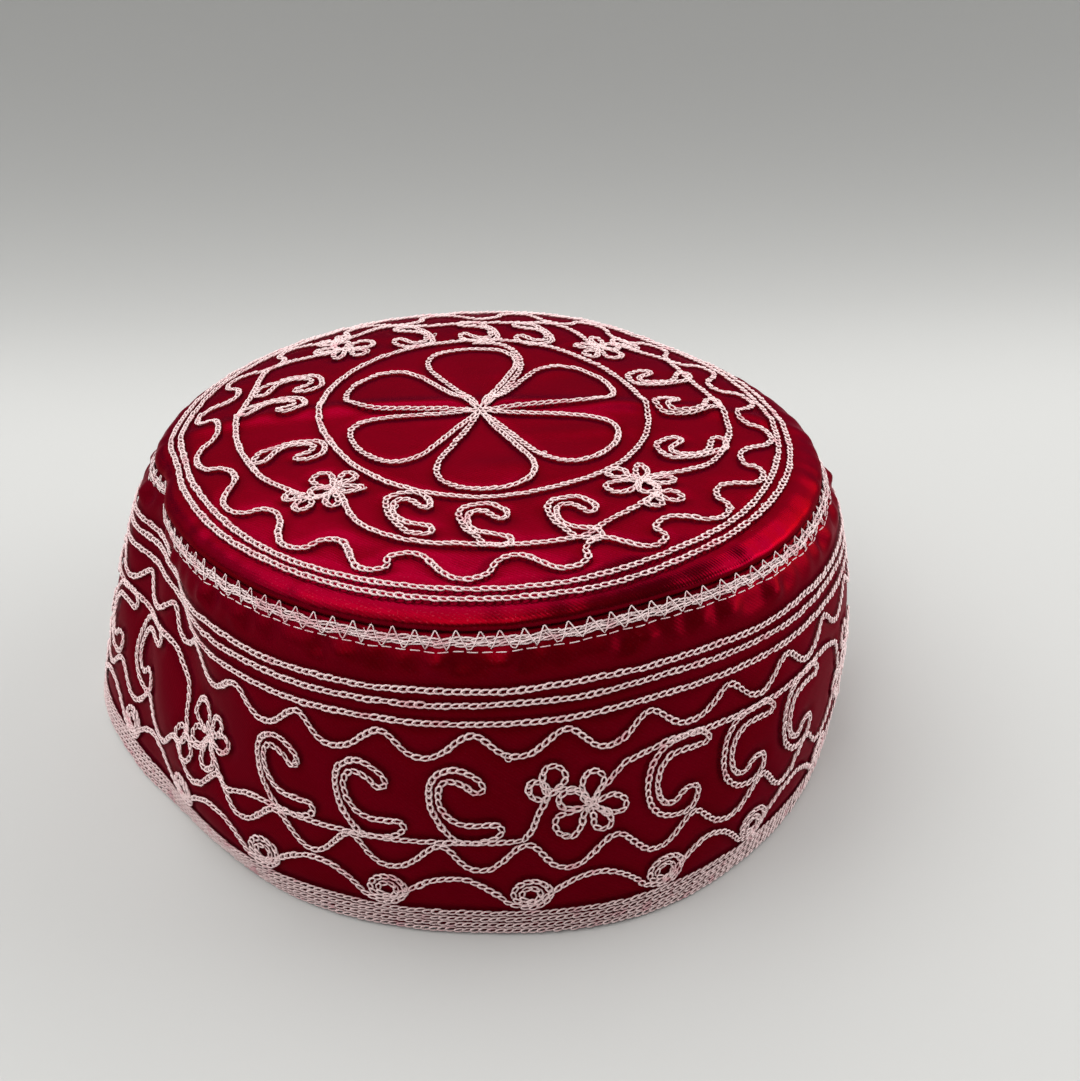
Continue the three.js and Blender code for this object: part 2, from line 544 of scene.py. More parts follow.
def grid_faces(rows: int, columns: int, closed_rows: bool, closed_columns: bool) -> Array:
    """Quads over a grid of vertices numbered row by row.

    Args:
        rows: Rows of vertices.
        columns: Vertices in each row.
        closed_rows: Whether the last row joins the first.
        closed_columns: Whether the last column joins the first.

    Returns:
        Four vertex numbers for each face.
    """
    i, j = np.meshgrid(
        np.arange(rows if closed_rows else rows - 1),
        np.arange(columns if closed_columns else columns - 1),
        indexing="ij",
    )
    up, right = (i + 1) % rows, (j + 1) % columns
    quads = np.stack([i * columns + j, up * columns + j, up * columns + right, i * columns + right], -1)
    return quads.reshape(-1, 4)


def smooth_line(points: Array, closed: bool, steps: int = 8) -> Array:
    """A Catmull-Rom curve through the points of a line.

    Args:
        points: The line's points, along the first axis.
        closed: Whether its end joins its start.
        steps: New points for each stretch.

    Returns:
        The curve's points. A closed curve repeats its first point at the end.
    """
    if closed:
        held = np.concatenate([points[-1:], points, points[:2]])
    else:
        held = np.concatenate([2 * points[:1] - points[1:2], points, 2 * points[-1:] - points[-2:-1]])
    a, b, c, d = held[:-3, None], held[1:-2, None], held[2:-1, None], held[3:, None]
    t = (np.arange(steps) / steps)[None, :, None]
    curve = b + t / 2 * (c - a + t * (2 * a - 5 * b + 4 * c - d + t * (3 * (b - c) + d - a)))
    return np.concatenate([curve.reshape(-1, points.shape[1]), held[-2:-1]])


@dataclass(frozen=True)
class BandChart:
    """Lays flat patterns on the band: millimetres along its middle from +X, and shares of its height."""

    form: CapForm
    level: float = 0.45
    samples: int = 2881

    def __post_init__(self) -> None:
        """Works out once how far round each angle is, and how tall the wall is there."""
        angle = np.linspace(0, TURN, self.samples)
        middle = self.form.band(angle, np.full_like(angle, self.level))
        run = run_along(middle)
        foot, head = self.form.band(angle, 0 * angle), self.form.band(angle, 0 * angle + 1)
        object.__setattr__(self, "angle", angle)
        object.__setattr__(self, "run", run)
        object.__setattr__(self, "slant", np.linalg.norm(head - foot, axis=-1))

    @property
    def length(self) -> float:
        """The length of the band's middle all round."""
        return float(self.run[-1])

    def angle_at(self, along: Array) -> Array:
        """The angle round the cap that lies so far along the band."""
        turns, rest = np.divmod(along, self.length)
        return np.interp(rest, self.run, self.angle) + TURN * turns

    def motif(self, share_along: float, share_up: float, outline: Array) -> Array:
        """A motif drawn in millimetres, put at a place on the band.

        Args:
            share_along: The place's share of the way round.
            share_up: Its share of the band's height.
            outline: Points, to the right and up.

        Returns:
            The same points as millimetres along and shares up.
        """
        along = share_along * self.length + outline[:, 0]
        tall = np.interp(np.mod(along, self.length), self.run, self.slant)
        return stack(along, share_up + outline[:, 1] / tall)

    def point(self, flat: Array) -> Array:
        """Points of the band's outside under a flat pattern."""
        return self.form.band(self.angle_at(flat[:, 0]), flat[:, 1])

    def normal(self, flat: Array) -> Array:
        """The band's outward directions under a flat pattern."""
        return self.form.normal(self.form.band, self.angle_at(flat[:, 0]), flat[:, 1])


@dataclass(frozen=True)
class CrownChart:
    """Lays flat patterns on the crown: millimetres in a disc whose rim is the seam."""

    form: CapForm
    radius: float = 80.0
    offset: Pair = (-0.2, -0.8)
    pole: float = 0.004

    def polar(self, degrees: Array, share: Array) -> Array:
        """Flat points at angles in degrees and shares of the way out from the middle."""
        angle = np.radians(degrees)
        return stack(self.radius * share * np.cos(angle), self.radius * share * np.sin(angle))

    def motif(self, degrees: float, share: float, outline: Array, faced: float | None = None) -> Array:
        """A motif drawn in millimetres, put at a place on the crown.

        Args:
            degrees: The place's angle.
            share: Its share of the way out.
            outline: Points, towards greater angles and towards the middle.
            faced: The angle that it is turned to, if not the place's own.

        Returns:
            Points in the flat disc.
        """
        place = self.polar(degrees, share)
        angle = math.radians(degrees if faced is None else faced)
        out = np.array([math.cos(angle), math.sin(angle)])
        on = np.array([-math.sin(angle), math.cos(angle)])
        return place + outline[:, :1] * on - outline[:, 1:] * out

    def place(self, flat: Array) -> tuple[Array, Array]:
        """The angle and the crown's turn under a flat pattern, which lies a little off the middle.

        Its offset to the front fades over the outer half, as the square root of the way to the rim.

        Args:
            flat: Points in the flat disc.

        Returns:
            Angles and turns in radians. No point comes nearer the middle than the pole's share.
        """
        reach = np.hypot(flat[:, 0], flat[:, 1]) / self.radius
        x = flat[:, 0] + self.offset[0]
        y = flat[:, 1] + self.offset[1] * np.clip(2 * (1 - reach), 0, 1) ** 0.5
        share = np.clip(np.hypot(x, y) / self.radius, self.pole, 1)
        return np.arctan2(y, x), self.form.turn_of(share)

    def point(self, flat: Array) -> Array:
        """Points of the crown's outside under a flat pattern."""
        return self.form.crown(*self.place(flat))

    def normal(self, flat: Array) -> Array:
        """The crown's outward directions under a flat pattern."""
        return self.form.normal(self.form.crown, *self.place(flat))


@dataclass(frozen=True)
class Path:
    """A line of stitching on one of the charts, and how high it lies over the cloth."""

    flat: Array
    closed: bool = False
    lift: float = 0.0


@dataclass(frozen=True)
class Thread:
    """A thread carried along a line as a tube that is wider than it is tall."""

    width: float
    tall: float
    sides: int = 4

    def ring(self) -> Array:
        """Offsets round the thread, outwards and up, in millimetres."""
        turn = TURN * np.arange(self.sides) / self.sides
        return stack(self.width / 2 * np.cos(turn), self.tall / 2 * np.sin(turn))

    def tube(self, parts: MeshParts, line: Array, up: Array, closed: bool) -> None:
        """Adds one tube to a mesh, capped where it is open.

        Each ring of vertices stands square to the line, with one axis along up.

        Args:
            parts: The mesh that it is added to.
            line: Its centre line.
            up: The direction out of the cloth at each of its points.
            closed: Whether its end joins its start.
        """
        if closed:
            along = unit(np.roll(line, -1, axis=0) - np.roll(line, 1, axis=0))
        else:
            along = unit(np.gradient(line, axis=0))
        side = unit(np.cross(along, up))
        lift = unit(np.cross(side, along))
        ring = self.ring()
        rings = line[:, None] + side[:, None] * ring[None, :, :1] + lift[:, None] * ring[None, :, 1:]
        faces = grid_faces(len(line), self.sides, closed, True)
        run = run_along(line)
        run = np.append(run, run[-1] + (run[1] if closed else 0))
        i, j = np.divmod(np.arange(len(faces)), self.sides)
        girth = TURN * self.width / 2 / self.sides
        places = np.stack([stack(run[i + a], girth * (j + b)) for a, b in CORNERS], axis=1)
        first = parts.vertices(rings, 0.5 - ring[:, 1] / self.tall)
        parts.fill(faces + first, places)
        if not closed:
            start = np.arange(self.sides)[None] + first
            end = start[:, ::-1] + (len(line) - 1) * self.sides
            for cap in (start, end):
                parts.fill(cap, np.zeros((self.sides, 2)))


@dataclass(frozen=True)
class ChainStitch:
    """Machine chain stitch: loops of thread, each held down at its far end by the next one.

    A loop is an ellipse along the line, leaning a little as thread does by its twist. It comes up
    through the loop before it, lies highest there, and sinks to where the next one holds it. Reach and
    winding are a loop's length over the pitch and its thread's over its own length. Uneven and stray
    say how much loops differ along, aside and up, in size and in place.
    """

    thread: Thread = Thread(0.45, 0.43)
    pitch: float = 1.74
    reach: float = 1.28
    spread: float = 0.54
    skew: float = 0.08
    start_height: float = 0.56
    end_height: float = 0.22
    samples: int = 9
    winding: float = 2.3
    uneven: Triple = (0.03, 0.09, 0.08)
    stray: Triple = (0.05, 0.05, 0.03)
    spacing: float = 0.3
    spool: float = 40.0

    def template(self) -> tuple[Array, Array]:
        """One loop's vertices and texture coordinates.

        Returns:
            Vertices as millimetres along, aside and up, and their millimetres along the thread and
            round it at the corners of each face.
        """
        tau = TURN * np.arange(self.samples) / self.samples
        length = self.reach * self.pitch
        along = length * (1 - np.cos(tau)) / 2
        aside = self.spread * (np.sin(tau) - self.skew * np.cos(tau))
        sink = (1 - np.cos(tau)) / 2
        height = self.start_height + (self.end_height - self.start_height) * sink
        out = stack(-np.cos(tau), np.sin(tau))
        ring = self.thread.ring()
        points = np.concatenate(
            [
                stack(along, aside)[:, None] + out[:, None] * ring[None, :, :1],
                height[:, None, None] - ring[None, :, 1:],
            ],
            axis=-1,
        )
        i, j = np.divmod(np.arange(self.samples * self.thread.sides), self.thread.sides)
        step = self.winding * length / self.samples
        girth = math.pi * self.thread.width / self.thread.sides
        corner = [stack(step * (i + a), girth * (j + b)) for a, b in CORNERS]
        return points.reshape(-1, 3), np.stack(corner, axis=1)

    def sew(self, parts: MeshParts, chart: BandChart | CrownChart, path: Path, seed: int) -> None:
        """Sews a chain along a path, its loops bent with the path and each a little uneven.

        The path is laid at a fine spacing first, and each loop's thread starts anywhere on the spool.

        Args:
            parts: The mesh that it is added to.
            chart: What lays the path on the cloth.
            path: The line that it follows.
            seed: Sets how the loops differ.
        """
        dense = self.resample(path.flat, chart, self.spacing)
        line, up = chart.point(dense), chart.normal(dense)
        run = run_along(line)
        if path.closed:
            count = max(3, round(run[-1] / self.pitch))
            starts = np.arange(count) * run[-1] / count
        else:
            count = max(2, int((run[-1] - (self.reach - 1) * self.pitch) / self.pitch))
            starts = np.arange(count) * (run[-1] - self.reach * self.pitch) / (count - 1)
        along = unit(np.gradient(line, axis=0))
        if path.closed:
            along[[0, -1]] = unit(along[0] + along[-1])
        side = unit(np.cross(up, along))
        chance = np.random.default_rng(seed)
        shape, places = self.template()
        scale = chance.normal(1, self.uneven, (count, 3))[:, None]
        move = chance.normal(0, self.stray, (count, 3))[:, None]
        local = shape[None] * scale + move
        at = starts[:, None] + local[..., 0]
        at = np.mod(at, run[-1]) if path.closed else np.clip(at, 0, run[-1])
        middle, across, over = (
            stack(*(np.interp(at, run, field_of[:, k]) for k in range(3))) for field_of in (line, side, up)
        )
        points = middle + across * local[..., 1:2] + over * (local[..., 2:3] + path.lift)
        faces = grid_faces(self.samples, self.thread.sides, True, True)
        every = faces[None] + len(shape) * np.arange(count)[:, None, None]
        slide = chance.uniform(0, self.spool, count)[:, None, None, None] * np.array([1.0, 0.0])
        depth = 1 - np.clip(shape[:, 2] / (self.start_height + self.thread.tall / 2), 0, 1)
        first = parts.vertices(points, depth)
        parts.fill(every.reshape(-1, 4) + first, places[None] + slide)

    @staticmethod
    def resample(flat: Array, chart: BandChart | CrownChart, step: float) -> Array:
        """A flat line's points at even spacing on the cloth.

        Args:
            flat: The line's points.
            chart: What lays it on the cloth.
            step: The spacing in millimetres.

        Returns:
            New flat points, from the first to the last.
        """
        line = chart.point(flat)
        run = run_along(line)
        at = np.linspace(0, run[-1], max(8, int(run[-1] / step)))
        return stack(np.interp(at, run, flat[:, 0]), np.interp(at, run, flat[:, 1]))


def rows(*points: Pair) -> Array:
    """Points of an outline or pairs of values, as an array."""
    return np.array(points, float)


# Motifs in millimetres, after points that were read off the photograph and laid on the cap with
# the fitted camera. A crescent stands on its vine with its foot at the origin, and a flower's petals
# lie round its middle.
LOW_CRESCENT = rows(
    (6.3, 0.6), (3.8, 3.1), (1.9, 6.0), (0.6, 9.3), (0, 13.2), (0.7, 16.2), (2.8, 18.0), (5.0, 18.3),
    (7.6, 17.4), (10.0, 15.7), (10.8, 13.5), (9.0, 12.8), (7.1, 14.4), (4.8, 15.5), (2.9, 15.3), (1.9, 13.2),
    (2.3, 9.8), (3.8, 7.3), (5.7, 5.5), (8.5, 4.6), (11.6, 4.7), (14.2, 4.7), (15.3, 3.1), (13.8, 1.2),
    (10.6, 0.2),
)
HIGH_CRESCENT = rows(
    (8.9, -0.2), (5.0, 0.3), (2.3, 1.9), (0.6, 4.8), (0, 8.8), (0.3, 12.6), (2.0, 15.9), (4.8, 18.1),
    (8.0, 18.8), (10.6, 17.9), (12.0, 15.6), (11.8, 13.2), (9.8, 12.6), (8.0, 13.3), (6.4, 15.0), (4.4, 14.8),
    (2.7, 12.6), (2.1, 9.4), (2.7, 6.0), (4.6, 3.7), (7.4, 3.0), (10.2, 3.1), (13.4, 3.2), (14.2, 1.9),
    (12.0, -0.1),
)
CROWN_CRESCENT = rows(
    (0, 0), (-2.1, 3.4), (-3.6, 6.1), (-4.4, 9.1), (-4.6, 12.0), (-3.6, 14.0), (-1.2, 15.0),
    (1.5, 15.2), (3.2, 13.9), (4.6, 12.0), (4.7, 9.8), (3.6, 8.9), (2.3, 10.0), (0.6, 12.0),
    (-1.4, 12.4), (-2.8, 11.2), (-3.0, 8.9), (-2.7, 6.6), (-1.4, 4.6), (0.5, 3.4), (3.1, 2.6),
    (4.9, 1.6), (4.9, -0.4), (3.0, -0.8), (1.4, -0.4),
)
BAND_PETALS = (
    rows((0, 0), (-2, 4.3), (-1.7, 7.2), (0, 8.2), (2, 6.9), (2.3, 4.9), (1.3, 2.9)),
    rows((0, 0), (2.7, 1.3), (4.7, 1.6), (7.1, -0.3), (7.1, -2.6), (4.7, -2.9), (2.7, -1.6)),
    rows((0, 0), (0.7, -3.3), (1, -5.2), (2.7, -6.5), (4.4, -5.6), (4.1, -3.6), (2.7, -2)),
    rows((0, 0), (-4, -1), (-6.7, -2), (-7, -4.3), (-5.7, -6.5), (-3.4, -7.2), (-1.7, -4.9), (-1.4, -2)),
    rows((0, 0), (-3, -0.3), (-5.7, 0.3), (-6.7, 2.6), (-5.4, 3.9), (-2.7, 3.6), (-1.3, 1.3)),
    rows((-8.6, 3.9), (-10, 6.2), (-10.3, 8.5), (-9.3, 10.5), (-7, 10.2), (-5.6, 7.5), (-6.6, 5.6)),
    rows((-8.8, 3.8), (-9.9, 2.6), (-11.9, 3.3), (-12.9, 5.2), (-12.3, 6.9), (-10.3, 6.9), (-9, 4.9)),
)
BAND_LINK = rows((-8.7, 3.9), (-6.3, 4.9), (-2.3, 3.9), (0, 0))
BAND_BUD_STEM = rows((-13.6, -7.4), (-12.6, -6.4), (-11.3, -4), (-10.6, -0.7), (-9.3, 2), (-8.6, 3.9))
BAND_FLOWER_STEM = rows((0, 0), (1.7, 3.6), (3.4, 4.9), (5.7, 7.6), (8.1, 9))
CROWN_PETALS = (
    rows((-0.7, 0.3), (-2.9, -1.2), (-6.4, -0.9), (-7.6, 1.6), (-6, 3.7), (-3.4, 2.8)),
    rows((0, 1), (-1.4, 3), (-2.7, 5.1), (-2.6, 6.7), (0.1, 7), (0.9, 5), (-0.1, 3.3)),
    rows((0, 0.3), (1, 1.8), (2.8, 3.6), (5.1, 4.6), (4.6, 2.1), (2.6, 0.4)),
    rows((0.7, -1), (2.3, -4.3), (5, -5.1), (5.5, -3.4), (2.9, -1.4)),
    rows((0.2, -0.3), (-2.4, -1.6), (-3.6, -3.5), (-2.5, -4.8), (-0.2, -4.6), (1, -1.6)),
    rows((-3, -5.8), (-3.7, -6.2), (-6.3, -6.9), (-6.5, -8.6), (-4.8, -9.8), (-3.5, -8.2)),
    rows((-1.6, -6), (-2.2, -8.9), (-1, -10.6), (1, -10.3), (1.3, -7.6), (-0.4, -6.3)),
)
CROWN_STEM = rows((0, 0), (4.1, -0.8), (7.6, -2.7), (11.2, -4.4), (16, -5.6), (20.2, -5.2))
CROWN_ARRIVAL = rows(
    (-17.3, -6.6), (-9.9, -6.7), (-5.7, -6.3), (-1.9, -6.2), (0.2, -4.6), (0.7, -1.3), (0, 0),
)


@dataclass(frozen=True)
class FlowerUnit:
    """One flower of the band: its share of the way round, which way it grows, and its height's share."""

    along: float
    growth: Growth
    level: float = 0.466


@dataclass
class BandEmbroidery:
    """All the stitched lines of the side band, from its three stripes down to the rows at its hem.

    Heights are shares of the band's own, and counts are how often a line repeats all round. A wave has
    its count, its crests, its troughs and where a crest lies. Curls and arches are in millimetres.
    """

    chart: BandChart
    stripes: tuple[float, ...] = (0.852, 0.812, 0.757)
    upper_wave: tuple[int, float, float, float] = (30, 0.713, 0.640, 0.7354)
    lower_wave: tuple[int, float, float, float] = (31, 0.339, 0.247, 0.7582)
    wave_peak: Pair = (0.12, 0.1)
    wave_uneven: Pair = (0.22, 0.1)
    curls: int = 19
    curl_start: float = 0.7612
    curl_shifts: tuple[float, ...] = (0.0, -1.2, -6.5, -5.0, -3.0, -1.0)
    curl_level: float = 0.157
    curl_outer: float = 3.9
    curl_inner: float = 1.9
    curl_turns: float = 2.1
    curl_from: float = -118.0
    curl_shrinks: Pair = (0.3, 0.35)
    curl_squash: Pair = (0.97, 0.3)
    arch_foot: float = 0.112
    arch_top: float = 0.225
    arch_start: Pair = (3.0, 0.07)
    arch_gap: float = 4.5
    arch_fullness: float = 0.85
    low_vine: float = 0.36
    high_vine: float = 0.61
    low_crescents: tuple[float, ...] = (0.193, 0.414, 0.634)
    high_crescents: tuple[float, ...] = (0.135, 0.341, 0.548)
    hem_rows: tuple[float, ...] = (0.0885, 0.0645, 0.041, 0.0175)
    flowers: tuple[FlowerUnit, ...] = (
        FlowerUnit(0.6205, Growth.HANGING, 0.45),
        FlowerUnit(0.7800, Growth.STANDING),
        FlowerUnit(0.9392, Growth.HANGING),
        FlowerUnit(1.1099, Growth.STANDING),
        FlowerUnit(1.2805, Growth.HANGING),
        FlowerUnit(1.4512, Growth.STANDING),
    )

    def level(self, share: float, wander: float = 0.25, seed: int = 1) -> Path:
        """A line all round at a share of the height, wandering a little as a hand-guided one does.

        Args:
            share: The share.
            wander: How far it strays, in millimetres.
            seed: Sets how it strays.

        Returns:
            The closed path.
        """
        along = np.linspace(0, self.chart.length, 721)
        stray = Waviness((3, 7, 12, 19), wander, 0.0, seed).at(along / self.chart.length * TURN, 0.0)
        return Path(stack(along, share + stray / WALL), closed=True)

    def wave(self, count: int, crest: float, trough: float, start: float, seed: int) -> Path:
        """A wavy line all round: a cosine of the way along, plus a little of one twice as quick.

        The quick one and the lift after it make the crests sharper and taller than the troughs. The
        waves lean and swell unevenly by sums of sines.

        Args:
            count: How many waves there are.
            crest: The share of the height at the crests.
            trough: The share at the troughs.
            start: A crest's share of the way along.
            seed: Sets how uneven the waves are.

        Returns:
            The closed path.
        """
        along = np.linspace(0, self.chart.length, 40 * count + 1)
        turn = TURN * along / self.chart.length
        lean = Waviness((5, 9, 16, 23), self.wave_uneven[0], 0.0, seed).at(turn, 0.0)
        phase = count * (turn - TURN * start) + lean
        swing = np.cos(phase) + self.wave_peak[0] * np.cos(2 * phase) + self.wave_peak[1]
        swell = 1 + Waviness((4, 11, 17), self.wave_uneven[1], 0.0, seed + 1).at(turn, 0.0)
        height = (crest + trough) / 2 + (crest - trough) / 2 * swing * swell
        return Path(stack(along, height), closed=True)

    def curls_and_arches(self) -> Path:
        """The lowest line: it runs over an arch, curls twice round itself, and goes on to the next arch.

        A curl is a slightly squashed circle that starts at curl_from degrees and whose radius shrinks
        by an even S, from and over the shares of its way that curl_shrinks gives. An arch is half a
        sine wave made a little fuller. It starts beside the curl's middle, by a length less a share of
        the pitch, and is shorter than the pitch by the gap.

        Returns:
            The closed path.
        """
        pitch = self.chart.length / self.curls
        turn = np.linspace(0, 1, 44)
        swept = np.radians(self.curl_from) + TURN * self.curl_turns * turn
        shrunk = smoothstep((turn - self.curl_shrinks[0]) / self.curl_shrinks[1])
        radius = self.curl_outer + (self.curl_inner - self.curl_outer) * shrunk
        squash, lift = self.curl_squash
        curl = stack(radius * np.cos(swept), radius * np.sin(swept) * squash + lift)
        way = np.linspace(0, 1, 26)[1:-1]
        foot = self.arch_start[0] - self.arch_start[1] * pitch
        arch = self.arch_foot + (self.arch_top - self.arch_foot) * np.sin(np.pi * way) ** self.arch_fullness
        shifts = [*self.curl_shifts, *[0.0] * (self.curls + 1 - len(self.curl_shifts))]
        pieces = []
        for number, (shift, next_shift) in enumerate(zip(shifts, shifts[1:])):
            middle = self.curl_start * self.chart.length + number * pitch + shift
            pieces.append(self.chart.motif(middle / self.chart.length, self.curl_level, curl))
            width = pitch - self.arch_gap + next_shift - shift
            pieces.append(stack(middle + foot + width * way, arch))
        flat = np.concatenate(pieces)
        flat = np.concatenate([flat, flat[:1] + [self.chart.length, 0.0]])
        return Path(smooth_line(flat, closed=False, steps=3))

    def vine(self, first: FlowerUnit, last: FlowerUnit) -> Path:
        """The vine from one flower to the bud of the next, low where the next one stands.

        Args:
            first: The flower that it leaves.
            last: The flower whose bud it reaches.

        Returns:
            The path.
        """
        way = first.growth.value
        share = self.low_vine if last.growth is Growth.STANDING else self.high_vine
        leave = self.chart.motif(first.along, first.level, BAND_FLOWER_STEM * [1, way])
        reach = self.chart.motif(last.along, last.level, BAND_BUD_STEM * [1, last.growth.value])
        join = np.linspace(0.12, 0.88, 7)[:, None]
        middle = leave[-1:] * (1 - join) + reach[:1] * join
        middle[:, 1] = share
        return Path(smooth_line(np.concatenate([leave, middle, reach]), closed=False))

    def flower(self, bloom: FlowerUnit) -> list[Path]:
        """The petals, bud and link of one flower.

        Args:
            bloom: The flower.

        Returns:
            Closed petals and the open link from the bud to the middle.
        """
        flip = np.array([1, bloom.growth.value])
        made = []
        for number, petal in enumerate(BAND_PETALS):
            flat = self.chart.motif(bloom.along, bloom.level, petal * flip)
            made.append(Path(smooth_line(flat, closed=True), closed=True, lift=PETAL_STEP * (number % 3)))
        link = self.chart.motif(bloom.along, bloom.level, BAND_LINK * flip)
        return [*made, Path(smooth_line(link, closed=False), lift=LINK_LIFT)]

    def motifs(self) -> list[Path]:
        """The vines with all their flowers and crescents.

        Returns:
            Their paths.
        """
        made = []
        following = [*self.flowers[1:], replace(self.flowers[0], along=self.flowers[0].along + 1)]
        for here, after in zip(self.flowers, following):
            made.append(self.vine(here, after))
            made.extend(self.flower(here))
            way = after.growth.value
            low = after.growth is Growth.STANDING
            share, outline = (self.low_vine, LOW_CRESCENT) if low else (self.high_vine, HIGH_CRESCENT)
            for place in self.low_crescents if low else self.high_crescents:
                along = here.along + (after.along - here.along) * place
                flat = self.chart.motif(along, share, outline * [1, way])
                made.append(Path(smooth_line(flat, closed=True), closed=True, lift=CRESCENT_LIFT))
        return made

    def groups(self) -> dict[str, list[Path]]:
        """The paths of each piece.

        Returns:
            Paths by the piece's name.
        """
        return {
            "band_stripes": [self.level(share, seed=4 + n) for n, share in enumerate(self.stripes)],
            "band_waves": [self.wave(*self.upper_wave, 21), self.wave(*self.lower_wave, 25)],
            "band_curls": [self.curls_and_arches()],
            "band_motifs": self.motifs(),
            "hem_rows": [self.level(share, 0.08, seed=31 + n) for n, share in enumerate(self.hem_rows)],
        }


@dataclass
class CrownEmbroidery:
    """The stitched lines of the crown: a six-petalled star, rings, a wave and four vines.

    Angles are in degrees from +X and distances shares of the way out to the seam, but the star, its
    ring and how far each crescent stands in from the vine are in millimetres.
    """

    chart: CrownChart
    star: Pair = (0.5, 0.2)
    star_ring: tuple[float, float, float, float] = (0.9, 2.0, 38.4, 40.8)
    petals: tuple[Triple, ...] = (
        (93, 36.6, 10.6),
        (32, 35.6, 11.9),
        (-35, 33.3, 10.9),
        (-89, 35.7, 10.1),
        (-149, 33.4, 11.2),
        (149.5, 34.2, 10.8),
    )
    rings: tuple[float, ...] = (0.882, 0.915)
    ring_dip: Triple = (288, 13, 0.022)
    right_pull: Triple = (-15, 45, -0.028)
    vine_dip: Triple = (291, 13, 0.026)
    wave_inner: float = 0.77
    wave_outer: float = 0.847
    wave_front: tuple[float, ...] = (179, 202.8, 224, 242, 257.2, 275.2, 290.8, 305.4, 322.4, 338.6, 357.8)
    wave_back: int = 10
    wave_skew: float = 0.8
    wave_turns: Pair = (0.8, 0.022)
    vine: float = 0.715
    flowers: tuple[Pair, ...] = ((227.2, 0.59), (313.2, 0.585), (411.4, 0.643), (487.8, 0.667))
    crescents: tuple[tuple[Pair, ...], ...] = (
        ((254, 3), (270.2, 0.4), (287.4, 0.4)),
        ((339.5, 0.4), (361.2, 0.4), (380, 0.4)),
        ((434.6, 0.4), (449, 0.4), (465.6, 0.4)),
        ((516.7, 0.4), (530, 0.4), (556.3, 3.8)),
    )

    def petal(self, axis: float, long: float, wide: float) -> Path:
        """A petal of the star: straight sides that part evenly and a round end.

        Args:
            axis: The direction of its middle line.
            long: Its length in millimetres.
            wide: Half its width in millimetres.

        Returns:
            The path, from the star's middle and back.
        """
        shares = rows((0.22, 0.3), (0.45, 0.66), (0.66, 0.96), (0.83, 0.98), (0.95, 0.66), (1, 0))
        side = np.concatenate([rows((0.3, 0.25)), shares * [long, wide]])
        outline = smooth_line(np.concatenate([side, side[-2::-1] * [1, -1]]), closed=False)
        cos, sin = math.cos(math.radians(axis)), math.sin(math.radians(axis))
        x, y = outline.T
        turned = stack(x * cos - y * sin, x * sin + y * cos)
        return Path(turned + np.array(self.star))

    def ring_about_star(self) -> Path:
        """The ring round the star, an ellipse.

        Returns:
            The closed path.
        """
        turn = np.linspace(0, TURN, 361)
        x, y, across, deep = self.star_ring
        return Path(stack(x + across * np.cos(turn), y + deep * np.sin(turn)), closed=True)

    def star_lead(self) -> Path:
        """The line that the needle took from the star's middle out to the ring round it.

        Returns:
            The path, through points given by their directions and how far out they are.
        """
        angle = np.radians([61, 61, 64, 66, 72, 79, 85, 92])
        reach = np.array([0.5, 8.4, 17.4, 25, 32.5, 38, 39.9, 40.3])
        flat = stack(reach * np.cos(angle), reach * np.sin(angle)) + np.array(self.star)
        return Path(smooth_line(flat, closed=False), lift=0.1)

    def pull(self, degrees: Array, bump: Triple) -> Array:
        """How far a bell-shaped bump moves a line out.

        Args:
            degrees: Angles along the line.
            bump: The bump's middle and width in degrees, and its height as a share of the way out.

        Returns:
            Shares of the way out.
        """
        middle, width, height = bump
        away = (degrees - middle + 180) % 360 - 180
        return height * np.exp(-((away / width) ** 2))

    def ring(self, share: float, seed: int) -> Path:
        """A ring, wandering a little, with one dip towards the rim and the right side pulled in.

        Args:
            share: Its share of the way out.
            seed: Sets how it wanders.

        Returns:
            The closed path.
        """
        degrees = np.linspace(0, 360, 721)
        stray = Waviness((2, 5, 9), 0.25, 0.0, seed).at(np.radians(degrees), 0.0)
        moved = self.pull(degrees, self.ring_dip) + self.pull(degrees, self.right_pull)
        return Path(self.chart.polar(degrees, share + stray / self.chart.radius + moved), closed=True)

    def wave(self) -> Path:
        """The wave between the vines and the rings: straight flanks with rounded turns.

        Each turn has four points over most of the half wave, the outer two of them nearer the other
        side. The outer turns lie a little past the middle between the inner ones.

        Returns:
            The closed path.
        """
        front = np.array(self.wave_front)
        step = (front[0] + 360 - front[-1]) / self.wave_back
        back = front[-1] + step * np.arange(1, self.wave_back)
        inner = np.concatenate([front, back])
        outer = (inner + np.append(inner[1:], inner[0] + 360)) / 2 + self.wave_skew
        flank = np.array([-0.27, -0.1, 0.1, 0.27])
        wide, round_off = self.wave_turns
        across = np.diff(np.append(inner, inner[0] + 360))[:, None] * flank * wide
        bend = round_off * np.array([1, 0, 0, 1])
        near = stack(inner[:, None] + across, self.wave_inner + bend)
        far = stack(outer[:, None] + across, self.wave_outer - bend)
        drawn = np.concatenate([near, far], axis=1).reshape(-1, 2)
        share = drawn[:, 1] + 0.5 * self.pull(drawn[:, 0], self.right_pull)
        return Path(smooth_line(self.chart.polar(drawn[:, 0], share), closed=True, steps=5), closed=True)

